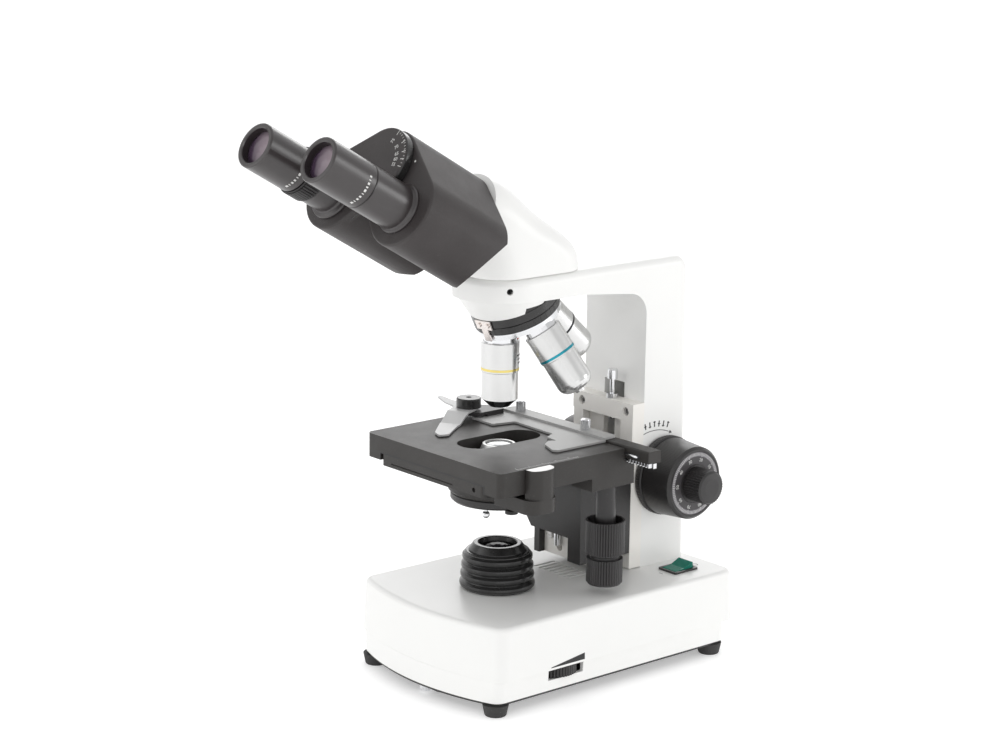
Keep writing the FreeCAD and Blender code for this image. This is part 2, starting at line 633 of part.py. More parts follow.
# --------------------------------------------------------- condenser
condenser = [(9.0, 113.8), (28.6, 113.8), (30.0, 115.2), (30.0, 118.6), (29.4, 119.2),
             (26.35, 119.2), (26.35, 134.5), (15.0, 136.6), (15.0, 139.0), (12.1, 140.8),
             (12.1, 144.5), (10.2, 149.4), (8.6, 149.4), (8.6, 140.0), (14.0, 132.0), (22.0, 131.0), (22.0, 117.0),
             (9.0, 117.0)]
keep("condenser_body", spin(condenser))
top_lens = [(0, 141.0), (8.5, 141.0), (8.5, 148.2)]
for i in range(1, 7):
    angle = math.radians(15 * i)
    top_lens.append((8.5 * math.cos(angle), 148.2 + 1.7 * math.sin(angle)))
top_lens[-1] = (0, 149.9)
low_lens = [(0, 113.9), (8.9, 113.9), (8.9, 117.0), (5.0, 118.6), (0, 119.0)]
keep("condenser_lenses", group([spin(top_lens), spin(low_lens)]))
knob_x = 25.5
knob_y = -11.0
condenser_screw = knurled(4.0, 0.4, 20, 111.6, 113.8, knob_x, knob_y)
lever_angle = math.radians(-62)
lever_x = 23.4 * math.cos(lever_angle)
lever_y = 23.4 * math.sin(lever_angle)
iris = tube(21.95, 12.0, 117.2, 118.6)
iris_stem = rod(1.1, 109.4, 117.6, 20.4 * math.cos(lever_angle), 20.4 * math.sin(lever_angle))
sweep_half = 36.0
slot_parts = []
slot = tube(22.0, 18.8, 112, 118)
slot_face = [Vector(0, 0, 111)]
for i in range(13):
    angle = lever_angle + math.radians(-sweep_half - 4 + i * (2 * sweep_half + 8) / 12)
    slot_face.append(Vector(60 * math.cos(angle), 60 * math.sin(angle), 111))
slot = slot.common(prism(slot_face, Vector(0, 0, 10)))
keep("condenser_body", group([outward_solid(parts["condenser_body"].cut(slot)), condenser_screw]))
ball_x = 20.4 * math.cos(lever_angle)
ball_y = 20.4 * math.sin(lever_angle)
ball = Part.makeSphere(2.4, Vector(ball_x, ball_y, 108.7))
keep("iris_ring", joined([iris, iris_stem, ball]))

# ------------------------------------------------------ moving stage
top_plate = slab(rect(-stage_half, stage_half, stage_front, 46.8), [4, 4, 0, 0],
                 stage_split_z + air, stage_top_z)
ledge = block(-stage_half, stage_half, 46.8, 58.0, stage_split_z + air, 144.3)
skirt_low = 136.6
skirt_left = slab(rect(-stage_half, -50.3, stage_front, 55), [4, 0, 0, 0], skirt_low, stage_split_z + 1)
skirt_right = slab(rect(49.4, stage_half, stage_front, 55), [0, 4, 0, 0], skirt_low, stage_split_z + 1)
coax_block = block(46, stage_half, 20, 55, 128.4, stage_under_z - 0.3)
coax_upper = block(49.4, stage_half, 20, 55, 128.4, skirt_low + 1)
stage_top = joined([top_plate, ledge, skirt_left, skirt_right, coax_block, coax_upper])
hole = slab(rect(-12.7, 12.7, -30, 30), [12.5] * 4, 130, 160)
stage_top = stage_top.cut(hole)
stage_top = stage_top.cut(block(-stage_half - 6, stage_half + 6, 48.6, 53.8, 142.4, 146))
stage_top = stage_top.cut(rod(8.0 + 1.15, 142.3, 146.1, coax_x, coax_y))
stage_top = stage_top.cut(block(coax_x - 6.2, coax_x + 6.2, coax_y, 47.0, 142.3, 146.1))
stage_top = stage_top.cut(rod(6.75, 132.9, 140.9, coax_x, coax_y))
stage_top = stage_top.cut(block(40, coax_x, coax_y - 6.75, coax_y + 6.75, 133.2, 140.9))
stage_top = stage_top.cut(rod(3.4 + run_fit, 120, 134, coax_x, coax_y))
stage_top = stage_top.cut(rod(2.0, 130, 143, coax_x, coax_y))
keep("stage_top", outward_solid(stage_top))

# Coaxial stage drive: the upper drum moves the stage in Y, the lower in X.
y_drum = knurled(12.4, 0.5, 44, 84.0, 105.0, coax_x, coax_y)
y_drum = y_drum.cut(tube(10.8, 6.1, 98.0, 106, coax_x, coax_y))
y_neck = rod(9.6, 82.6, 84.5, coax_x, coax_y)
y_shaft = rod(6.2, 95, 127.6, coax_x, coax_y).fuse(rod(3.4, 127, 133.7, coax_x, coax_y))
y_gear = pinion(xy_module, y_teeth, 0.58, 133.7, 140.5)
y_gear.rotate(Vector(0, 0, 0), Vector(0, 0, 1), 180)
y_gear.translate(Vector(coax_x, coax_y, 0))
y_knob = joined([y_drum, y_neck, y_shaft])
y_knob = y_knob.fuse(y_gear).cut(rod(1.8 + run_fit, 70, 150, coax_x, coax_y))
keep("y_knob", outward_solid(y_knob))
x_drum = knurled(11.4, 0.5, 40, 65.2, 80.6, coax_x, coax_y)
x_drum = joined([x_drum, rod(10.4, 64.0, 65.3, coax_x, coax_y), rod(9.2, 80.5, 82.2, coax_x, coax_y)])
x_drum = x_drum.cut(rod(1.82, 66, 90, coax_x, coax_y))
keep("x_knob", x_drum)
x_pitch = xy_module * x_teeth / 2
x_gear = pinion(xy_module, x_teeth, 0.62, 142.6, 145.8)
x_gear.rotate(Vector(0, 0, 0), Vector(0, 0, 1), 90)
x_gear.translate(Vector(coax_x, coax_y, 0))
keep("x_shaft", x_gear.fuse(rod(1.8, 66.02, 143, coax_x, coax_y)))

# ------------------------------------------------- mechanical slide holder
bar = block(-45, 85, 47.1, 57.6, 145.8, 153.4)
bar = rounded(bar, 1.0, lambda e: e.BoundBox.XLength > 100 and e.BoundBox.ZMin > 150)
x_rack_y = coax_y + x_pitch
x_low = -45.0 + 1.0 - coax_x
x_high = 86.0 - coax_x
x_rack_2d = rack_outline(xy_module, 0.62, -3.6, x_low, x_high)
x_rack_points = [Vector(coax_x + u, x_rack_y - v, 142.7) for u, v in x_rack_2d]
x_rack = prism(x_rack_points, Vector(0, 0, 3.1))
keep("carriage_bar", bar)
keep("x_rack", x_rack)
holder_low = stage_top_z + 0.25
holder_high = holder_low + 1.3
holder_outline = [(-50, 46.9), (-50, 18.5), (-27, 17.7), (-23.7, 33.5), (14.5, 31.5), (18.5, 23.5),
                  (29.0, 22.0), (26.0, 18.0), (31.0, 10.5), (44.0, 5.0), (47.0, 7.0), (47.0, 46.9)]
holder = slab(list(holder_outline), [3, 3, 1.5, 2, 2, 1.2, 0.6, 0.6, 1.5, 2, 2, 0],
              holder_low, holder_high)
holder_step = block(-50, 47, 45.7, 46.9, holder_low, 154.9)
holder_rear = slab(rect(-50, 47, 45.7, 56.5), [0, 0, 3, 3], 153.6, 154.9)
keep("slide_holder", joined([holder, holder_step, holder_rear]))
nuts = []
for x, y in ((24.0, 50.8), (-38.0, 50.8)):
    nuts.append(knurled(3.2, 0.3, 24, 154.95, 161.2, x, y).fuse(rod(2.5, 161.2, 161.8, x, y)))
pivot_x = -56.0
pivot_y = 22.0
arm_plate = slab([(-62, 14), (-48.5, 16), (-44, 20), (-44, 42), (-53, 44), (-62, 35)],
                 [5, 3, 2, 2, 3, 5], 154.9 - 0.3, 156.6)
arm_plate = arm_plate.fuse(slab(rect(-52, -44, 28, 42), [1] * 4, holder_high + 0.02, 155.0))
arm_plate = arm_plate.cut(rod(1.6, 150, 160, pivot_x, pivot_y))
parts["slide_holder"] = parts["slide_holder"].cut(block(-70, -43, 10, 43, 153.6, 160))
finger_low = 157.0
finger_thick = 1.2
blade_edge = [(-91.0, 27.5), (-77.0, 25.5), (-62.0, 28.0), (-50.0, 24.5), (-43.5, 9.5), (-36.0, -4.0),
              (-23.5, -21.0), (-25.5, -27.5), (-33.0, -24.5), (-48.5, -8.0), (-57.0, 5.0), (-63.0, 16.0),
              (-77.0, 19.0), (-91.0, 24.5)]
blade_plan = slab(blade_edge, [1.2, 6, 4, 6, 8, 8, 2, 2, 3, 8, 8, 6, 6, 1.2], 150, 160)
tip_drop = finger_low - stage_top_z - 0.5
bend_start = 13.0
bend_end = 27.0
blade_side = [(-60, 0), (bend_start, 0), (bend_end, -tip_drop), (80, -tip_drop), (80, finger_thick - tip_drop),
              (bend_end + 0.4, finger_thick - tip_drop), (bend_start + 0.4, finger_thick), (-60, finger_thick)]
blade_way = Vector(0.53, -0.848, 0)
blade_across = Vector(0.848, 0.53, 0)
sheet_start = Vector(pivot_x, pivot_y, finger_low) - blade_across * 60
sheet = prism([sheet_start + blade_way * u + Vector(0, 0, z) for u, z in blade_side], blade_across * 120)
blade = blade_plan.common(sheet)
keep("slide_holder", group([outward_solid(parts["slide_holder"])] + nuts))
keep("slide_finger", outward_solid(blade.cut(rod(1.62, 150, 160, pivot_x, pivot_y))))
knob_disc = joined([rod(8.0, 158.25, 164.6, pivot_x, pivot_y), rod(1.55, 155, 158.3, pivot_x, pivot_y)])
knob_disc = rounded(knob_disc, 0.8, lambda e: e.BoundBox.ZMin > 164.5)
knob_disc = knob_disc.cut(rod(1.8, 163.4, 165, pivot_x, pivot_y))
keep("finger_mount", group([outward_solid(arm_plate), knob_disc]))

# --------------------------------------------------------- nosepiece
def nose_part(shape):
    """Place a shape spun about Z with depth measured down the turret axis."""
    moved = shape.copy()
    moved.Placement = nose_place.multiply(shape.Placement)
    return moved


plate_low_s = rim_depth + 0.05 + plate_depth
mount_profile = [(0, -rim_depth - 0.05), (plate_radius - 0.5, -rim_depth - 0.05), (plate_radius, -rim_depth - 0.6),
                 (plate_radius, -plate_low_s), (4.2, -plate_low_s), (4.2, -42.6), (0, -42.6)]
fixed = nose_part(spin(mount_profile))
rear_disc = nose_part(rod(plate_radius - 0.1, -rim_depth - 0.06, -8.0))
rear_room = [(cup_end_y + 0.3, 220), (36, 220), (36, underside - 0.5), (underside_run, underside - 0.5),
             (cup_end_y + 0.3, underside_low - 0.5)]
rear_disc = rear_disc.common(prism([Vector(-40, y, z) for y, z in rear_room], Vector(80, 0, 0)))
fixed = fixed.fuse(rear_disc).cut(rod(8.5, 190, 250))
keep("nosepiece_mount", outward_solid(fixed))
reach_q = nose_apex - shoulder_z
collar_q = reach_q - 2.2
cone_r = collar_q * math.sin(tilt)
cone_s = collar_q * math.cos(tilt)
slope = math.tan(tilt)
lip_radius = turret_radius - 0.8
lip_s = cone_s - (lip_radius - cone_r) * slope
tip_s = cone_s + (cone_r - 8.0) * slope
rim_top_s = plate_low_s + 0.3
rim_low_s = 33.0
turret_profile = [(4.2 + run_fit, -rim_top_s), (turret_radius - 0.6, -rim_top_s), (turret_radius, -rim_top_s - 0.6),
                  (turret_radius, -rim_low_s + 0.4), (turret_radius - 0.4, -rim_low_s), (lip_radius, -rim_low_s),
                  (lip_radius, -lip_s), (8.0, -tip_s), (4.2 + run_fit, -tip_s)]
turret = nose_part(spin(turret_profile))
turret_axis = Vector(0, -math.sin(tilt), math.cos(tilt))


def at_station(shape, quarter):
    """Swing a shape made on the optical axis round to another seat."""
    moved = shape.copy()
    moved.rotate(apex, turret_axis, 90 * quarter)
    return moved


light_path = rod(6.5, 205, 250)
for quarter in range(4):
    turret = turret.cut(at_station(light_path, quarter))
notch_ring_radius = turret_radius + 0.3
notch_ring = []
for i in range(40):
    notch = rod(0.5, -rim_low_s - 1, -rim_top_s + 1)
    angle = 2 * math.pi * i / 40
    notch.translate(Vector(notch_ring_radius * math.cos(angle), notch_ring_radius * math.sin(angle), 0))
    notch_ring.append(nose_part(notch))
turret = turret.cut(group(notch_ring))
keep("turret", outward_solid(turret))
seat_ring = tube(10.2, 6.5, shoulder_z + 0.02, shoulder_z + 4.2)
seats = []
for quarter in range(4):
    seat = at_station(seat_ring, quarter).cut(parts["turret"])
    seats.append(max(seat.Solids, key=lambda s: s.BoundBox.DiagonalLength))
keep("objective_collars", group(seats))


def objective(quarter, length, band_at, sleeve_end, nose_end, tip_radius, nose_steps):
    """Objective barrel hanging from the shoulder, its ring and front lens."""
    top = shoulder_z
    r = objective_radius
    slim = r - 0.6
    bore = tip_radius - 1.2
    profile = [(5.6, top), (r - 0.4, top), (r, top - 0.4), (r, top - band_at),
               (r - 0.5, top - band_at), (r - 0.5, top - band_at - 1.6), (r, top - band_at - 1.6),
               (r, top - band_at - 2.4), (slim, top - band_at - 2.8)]
    nose_r = tip_radius + 1.8
    for i in range(nose_steps + 1):
        angle = math.radians(90 * i / nose_steps)
        across = nose_r + (slim - nose_r) * math.cos(angle)
        profile.append((across, top - sleeve_end - (nose_end - sleeve_end) * math.sin(angle)))
    profile.append((tip_radius + 0.4, top - nose_end))
    profile.append((tip_radius, top - length))
    profile.append((bore, top - length))
    profile.append((bore, top - length + 1.5))
    profile.append((5.6, top - length + 14))
    barrel = spin(profile)
    band_shape = tube(r + 0.05, r - 0.48, top - band_at - 1.57, top - band_at - 0.03)
    glass_end = top - length
    glass = spin([(0, glass_end + 0.5), (bore - 0.05, glass_end + 0.5), (bore - 0.05, glass_end + 1.5),
                  (0, glass_end + 1.5)])
    return [at_station(s, quarter) for s in (barrel, band_shape, glass)]


glasses = []
objective_table = (
    ("objective_10x", 0, 41.3, 16.0, 36.0, 40.9, 4.4, 1),
    ("objective_40x", 1, 44.4, 16.2, 36.4, 42.8, 3.0, 6),
    ("objective_100x", 2, 44.8, 16.2, 36.6, 43.0, 3.0, 6),
    ("objective_4x", 3, 28.0, 8.6, 22.0, 25.0, 7.0, 1),
)
for name, quarter, length, band_at, sleeve_end, nose_end, tip_radius, nose_steps in objective_table:
    barrel, band_shape, glass = objective(quarter, length, band_at, sleeve_end, nose_end, tip_radius, nose_steps)
    keep(name, group([barrel, band_shape]))
    glasses.append(glass)
keep("objective_lenses", group(glasses))

# Steel click spring on the front edge of the fixed plate.
spring_near = -plate_radius - 0.05
spring_far = spring_near - 0.8
spring_turn = 5.0
spring_plate = block(-6.3, 6.3, spring_far, spring_near, -plate_low_s - 0.5, -rim_depth - 0.3)
spring_leg = block(-2.6, 2.6, spring_far, spring_near, -36.4, -plate_low_s)
spring = joined([spring_plate, spring_leg])
spring.rotate(Vector(0, 0, 0), Vector(0, 0, 1), spring_turn)
spring = nose_part(spring)
dots = []
for x in (-3.5, 3.5):
    dot = Part.makeCylinder(1.5, 0.9, Vector(x, spring_far - 0.95, -rim_depth - 3.2), Vector(0, 1, 0))
    dot.rotate(Vector(0, 0, 0), Vector(0, 0, 1), spring_turn)
    dots.append(nose_part(dot))
keep("click_spring", group([spring] + dots))

# --------------------------------------------------------------- head
head_place = Placement(Vector(0, 0, 0), Rotation(Vector(1, 0, 0), 90 - head_tilt))


def head_part(shape):
    """Place a shape drawn in x, v with depth w along the eyepieces."""
    moved = shape.copy()
    moved.Placement = head_place.multiply(shape.Placement)
    return moved


seam = arm_top + 0.4
pivot_head_y = -52.9


def head_section(angle, near, far, half, corner):
    lean = math.radians(angle)
    along = Vector(0, math.cos(lean), math.sin(lean))
    start = Vector(0, pivot_head_y, seam)
    outline = [(-half, near), (half, near), (half, far), (-half, far)]
    return round_wire(outline, [corner] * 4, lambda p: start + Vector(p.x, 0, 0) + along * p.y)


head_sections = [
    head_section(0, 24.9, 101.6, 28.4, 20.0),
    head_section(11, 23.2, 95.6, 28.3, 20.0),
    head_section(23, 21.6, 81.0, 27.6, 20.0),
    head_section(42, 19.6, 72.6, 26.4, 21.0),
    head_section(60, 19.4, 70.6, 25.6, 25.4),
]
head_body = Part.makeLoft(head_sections, True, False)
head_body = head_body.fuse(rod(20.25 - run_fit * 2, spigot_low, seam + 2))
head_body = head_body.cut(rod(11.0, spigot_low - 2, 270))
keep("head_body", outward_solid(head_body))
hinge_pin = head_part(rod(9.0, 173.0, 246.4, 0, hinge_v))
parts["head_body"] = outward_solid(parts["head_body"].cut(hinge_pin))
keep("hinge_pin", hinge_pin)


def hull_wire(r1, x1, v1, r2, x2, v2, w):
    """Outline round two circles joined by their common tangents."""
    dx = x2 - x1
    dv = v2 - v1
    span = math.hypot(dx, dv)
    heading = math.atan2(dv, dx)
    spread = math.acos((r1 - r2) / span)
    marks = []
    for sign in (1, -1):
        angle = heading + sign * spread
        way = Vector(math.cos(angle), math.sin(angle), 0)
        marks.append((Vector(x1, v1, w) + way * r1, Vector(x2, v2, w) + way * r2))
    ahead = Vector(math.cos(heading), math.sin(heading), 0)
    far_mid = Vector(x2, v2, w) + ahead * r2
    near_mid = Vector(x1, v1, w) - ahead * r1
    return Part.Wire([
        Part.Arc(marks[1][0], near_mid, marks[0][0]).toShape(),
        Part.makeLine(marks[0][0], marks[0][1]),
        Part.Arc(marks[0][1], far_mid, marks[1][1]).toShape(),
        Part.makeLine(marks[1][1], marks[1][0]),
    ])


hinge_r = 22.4
lobe_r = 24.5
lobe_v = tube_v + 1.6
clear_line = block(-120, 120, -220, 80, 200, seam + 0.9)
right = Part.Face(hull_wire(hinge_r, 0, hinge_v, lobe_r, tube_x, lobe_v, housing_back))
right = right.extrude(Vector(0, 0, housing_front - housing_back))
right = rounded(right, 1.6, lambda e: e.BoundBox.ZLength < 0.01)
right = right.cut(rod(lobe_r + 0.4, 150, 260, -tube_x, lobe_v))
bevel_lean = math.radians(48)
flat_way = Vector(0.64, 0.768, 0).normalize()
flat_at = 206.4
corner_x = 35.8
corner_v = 211.35


def bevelled(shape, side):
    """Cut the lobe's flat top and the slanted corner at its far end."""
    shape = cut_beyond(shape, Vector(side * flat_way.x, flat_way.y, 0) * flat_at,
                       Vector(side * flat_way.x, flat_way.y, 0))
    slant = Vector(side * 0.771 * math.cos(bevel_lean), -0.636 * math.cos(bevel_lean), -math.sin(bevel_lean))
    return cut_beyond(shape, Vector(side * corner_x, corner_v, housing_back + 0.4), slant)


right = bevelled(right, 1)
right = right.fuse(rounded(rod(hinge_r, housing_back, housing_front, 0, hinge_v), 1.6,
                           lambda e: e.BoundBox.ZLength < 0.01))
right = right.cut(rod(9.0 + run_fit, 150, 260, 0, hinge_v))
right = right.cut(rod(11.9, 225, 260, tube_x, tube_v))
keep("right_housing", outward_solid(head_part(right).cut(clear_line)))

left_plate = Part.Face(hull_wire(21.3, 0, hinge_v, lobe_r, -tube_x, lobe_v, housing_front + air))
left_plate = left_plate.extrude(Vector(0, 0, dial_front - housing_front - air))
left_plate = rounded(left_plate, 1.4, lambda e: e.BoundBox.ZMin > dial_front - 0.01)
left_lobe = rod(lobe_r, housing_back, housing_front + 2, -tube_x, lobe_v)
left_lobe = rounded(left_lobe, 1.6, lambda e: e.BoundBox.ZMax < housing_back + 0.01)
left_lobe = bevelled(left_lobe, -1)
left_lobe = left_lobe.cut(rod(hinge_r + 0.4, 150, housing_front + air, 0, hinge_v))
left = left_plate.fuse(left_lobe)
left = left.cut(rod(9.0 + run_fit, 150, 246.6, 0, hinge_v))
left = left.cut(rod(11.9, 230, 260, -tube_x, tube_v))
keep("left_housing", outward_solid(head_part(left).cut(clear_line)))


def tube_part(start, end, side, flange):
    """Tube with a flange at its foot, standing on a housing half."""
    profile = [(11.68, start), (flange, start), (flange, start + 1.2), (flange - 0.6, start + 2.0),
               (14.6, start + 2.6), (tube_radius, start + 4.0), (tube_radius, end - 0.5),
               (tube_radius - 0.5, end), (11.68, end)]
    shape = spin(profile)
    shape.translate(Vector(side * tube_x, tube_v, 0))
    return head_part(shape)


right_join = 275.0
left_join = 268.0
keep("right_tube", tube_part(housing_front, right_join, 1, 15.4))
keep("left_tube", tube_part(dial_front, left_join, -1, 17.2))


def eyepiece(start, end, sleeve_start, side):
    """Eyepiece with a sleeve that slides in the tube, and its lenses."""
    profile = [(10.2, sleeve_start), (11.6, sleeve_start), (11.6, start), (tube_radius - 0.5, start),
               (tube_radius, start + 0.5), (tube_radius, end - 0.9), (tube_radius - 0.35, end - 0.25),
               (tube_radius - 1.0, end), (11.5, end), (10.9, end - 0.6), (10.9, end - 9.0), (10.2, end - 9.0)]
    shape = spin(profile)
    shape.translate(Vector(side * tube_x, tube_v, 0))
    lens = [(0, end - 8.9), (10.85, end - 8.9), (10.85, end - 5.0), (8.0, end - 3.9), (4.0, end - 3.1), (0, end - 2.8)]
    lower = [(0, sleeve_start + 3), (10.1, sleeve_start + 3), (10.1, sleeve_start + 6), (0, sleeve_start + 7.5)]
    glass = []
    for outline in (lens, lower):
        piece = spin(outline)
        piece.translate(Vector(side * tube_x, tube_v, 0))
        glass.append(head_part(piece))
    return group([head_part(shape)] + glass)


right_eye_end = 309.2
left_eye_end = 313.4
keep("right_eyepiece", eyepiece(right_join + 0.35, right_eye_end, 249.0, 1))
diopter_end = 280.2
keep("left_eyepiece", eyepiece(diopter_end + 0.35, left_eye_end, 255.0, -1))
diopter = knurled(15.2, 0.5, 52, left_join + 1.2, diopter_end - 1.2)
diopter = joined([diopter, rod(14.5, left_join + 0.35, left_join + 1.3), rod(14.5, diopter_end - 1.3, diopter_end)])
diopter = diopter.cut(rod(11.66, 200, 300))
diopter.translate(Vector(-tube_x, tube_v, 0))
keep("diopter_ring", head_part(diopter))

# ------------------------------------------------------------- export
whole = group(list(parts.values())).BoundBox
os.makedirs("parts", exist_ok=True)
shift = Vector(-(whole.XMin + whole.XMax) / 2, -(whole.YMin + whole.YMax) / 2, -whole.ZMin)
for name, shape in parts.items():
    solids = [solid.copy() for solid in shape.Solids]
    for solid in solids:
        solid.translate(shift)
    result = solids[0] if len(solids) == 1 else Part.makeCompound(solids)
    result.exportStep("parts/" + name + ".step")
print("nodes", len(parts), "shift", [round(v, 4) for v in shift])
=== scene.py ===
import bpy
import bmesh
import math
from mathutils import Vector, Matrix


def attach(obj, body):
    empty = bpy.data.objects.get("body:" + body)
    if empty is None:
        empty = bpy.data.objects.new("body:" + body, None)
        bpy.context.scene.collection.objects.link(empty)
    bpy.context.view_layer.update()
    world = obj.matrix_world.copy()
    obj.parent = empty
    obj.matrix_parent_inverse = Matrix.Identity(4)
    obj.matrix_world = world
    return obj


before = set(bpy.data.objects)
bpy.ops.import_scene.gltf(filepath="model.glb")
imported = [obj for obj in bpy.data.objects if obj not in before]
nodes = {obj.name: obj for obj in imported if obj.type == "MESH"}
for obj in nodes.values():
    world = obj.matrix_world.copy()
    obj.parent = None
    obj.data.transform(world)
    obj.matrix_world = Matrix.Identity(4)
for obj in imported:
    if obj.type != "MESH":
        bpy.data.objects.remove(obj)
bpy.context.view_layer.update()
print("stage: frame loaded,", len(nodes), "nodes")

# The optical axis sits this far from the frame's origin, in millimetres.
axisShift = Vector((2.5, 10.8354, 0.0))
mm = 0.001


def toFrame(x, y, z):
    return (Vector((x, y, z)) + axisShift) * mm


# Shader maths: a socket that takes part in Python expressions.
class Wire:
    def __init__(self, maker, socket):
        self.maker = maker
        self.socket = socket

    def calc(self, operation, *others):
        values = {i: v for i, v in enumerate((self,) + others)}
        return self.maker.add("ShaderNodeMath", {"operation": operation}, values)

    def __add__(self, other):
        return self.calc("ADD", other)

    def __radd__(self, other):
        return self.calc("ADD", other)

    def __mul__(self, other):
        return self.calc("MULTIPLY", other)

    def __rmul__(self, other):
        return self.calc("MULTIPLY", other)

    def __sub__(self, other):
        return self.calc("SUBTRACT", other)

    def __rsub__(self, other):
        return self.maker.add("ShaderNodeMath", {"operation": "SUBTRACT"}, {0: other, 1: self})

    def __truediv__(self, other):
        return self.calc("DIVIDE", other)

    def __gt__(self, other):
        return self.calc("GREATER_THAN", other)

    def __lt__(self, other):
        return self.calc("LESS_THAN", other)

    def between(self, low, high):
        return (self > low) * (self < high)

    def clamped(self):
        return self.calc("MAXIMUM", 0.0).calc("MINIMUM", 1.0)


# One material being built, with its own node tree.
class Maker:
    def __init__(self, name):
        self.material = bpy.data.materials.new(name)
        self.material.use_nodes = True
        self.tree = self.material.node_tree
        self.tree.nodes.clear()
        self.place = self.add("ShaderNodeTexCoord", {}, {}, "Object")

    def add(self, kind, settings, values, output=0):
        node = self.tree.nodes.new(kind)
        for key, value in settings.items():
            setattr(node, key, value)
        for key, value in values.items():
            if isinstance(value, Wire):
                self.tree.links.new(value.socket, node.inputs[key])
            else:
                node.inputs[key].default_value = value
        return Wire(self, node.outputs[output])

    def noise(self, scale, detail=3.0, where=None, rough=0.5):
        values = {"Vector": where or self.place, "Scale": scale, "Detail": detail, "Roughness": rough}
        return self.add("ShaderNodeTexNoise", {}, values, "Fac")

    def scaled(self, x, y, z):
        return self.add("ShaderNodeVectorMath", {"operation": "MULTIPLY"}, {0: self.place, 1: (x, y, z)})

    def along(self, origin, direction):
        offset = self.add("ShaderNodeVectorMath", {"operation": "SUBTRACT"}, {0: self.place, 1: origin})
        return self.add("ShaderNodeVectorMath", {"operation": "DOT_PRODUCT"},
                        {0: offset, 1: direction}, "Value")

    def around(self, origin, first, second):
        return self.along(origin, second).calc("ARCTAN2", self.along(origin, first))

    def away(self, origin, first, second):
        across, upward = self.along(origin, first), self.along(origin, second)
        return (across * across + upward * upward).calc("SQRT")

    def mix(self, factor, first, second):
        return self.add("ShaderNodeMix", {"data_type": "RGBA"}, {0: factor, 6: first, 7: second}, 2)

    def finish(self, values):
        shader = self.add("ShaderNodeBsdfPrincipled", {}, values)
        self.tree.nodes.new("ShaderNodeOutputMaterial")
        out = self.tree.nodes[-1]
        self.tree.links.new(shader.socket, out.inputs["Surface"])
        return self.material


def rgba(color):
    return (color[0], color[1], color[2], 1.0)


def surface(name, look, marks=None):
    maker = Maker(name)
    base = look["color"]
    change = look.get("mottle", 0.06)
    dark = rgba([c * (1 - change) for c in base])
    light = rgba([min(1.0, c * (1 + change) + 0.1 * change * (1 - c)) for c in base])
    cloud = maker.noise(look.get("cloudScale", 22.0), 5.0, rough=0.6)
    color = maker.mix(cloud, dark, light)
    smudge = maker.noise(look.get("smudgeScale", 60.0), 4.0, rough=0.65)
    rough = (smudge - 0.5) * look.get("smudge", 0.15) + look["rough"]
    height = maker.noise(look.get("grainScale", 1800.0), look.get("grainDetail", 2.0))
    if "turned" in look:
        axial = maker.along(look["turned"][0], look["turned"][1])
        rings = maker.noise(1.0, 2.0, maker.add("ShaderNodeCombineXYZ", {}, {0: axial * 9000.0}))
        height = height * 0.25 + rings
        color = maker.mix(rings * 0.35, color, rgba([c * 0.72 for c in base]))
    if "streak" in look:
        lines = maker.noise(1.0, 3.0, maker.scaled(*look["streak"]))
        height = height * 0.25 + lines
        color = maker.mix(lines * 0.3, color, rgba([c * 0.75 for c in base]))
    if "ribs" in look:
        ribs = maker.around(*look["ribs"][:3]) * look["ribs"][3]
        height = height * 0.2 + ribs.calc("SINE") * 0.5
    if "dust" in look:
        speck = maker.noise(900.0, 1.0)
        color = maker.mix((speck - 0.68) * 3.0 * look["dust"], color, (0.5, 0.5, 0.48, 1.0))
    if marks:
        for mask, paint in marks(maker):
            color = maker.mix(mask, color, rgba(paint))
    bump = maker.add("ShaderNodeBump", {}, {"Strength": look.get("bump", 0.5),
                                             "Distance": look.get("depth", 0.00006), "Height": height})
    values = {"Base Color": color, "Roughness": rough.clamped(), "Normal": bump,
              "Metallic": look.get("metal", 0.0), "Coat Weight": look.get("coat", 0.0),
              "Coat Roughness": look.get("coatRough", 0.15), "IOR": look.get("ior", 1.5),
              "Specular IOR Level": look.get("spec", 0.5),
              "Emission Color": rgba(base), "Emission Strength": look.get("glow", 0.0)}
    return maker.finish(values)


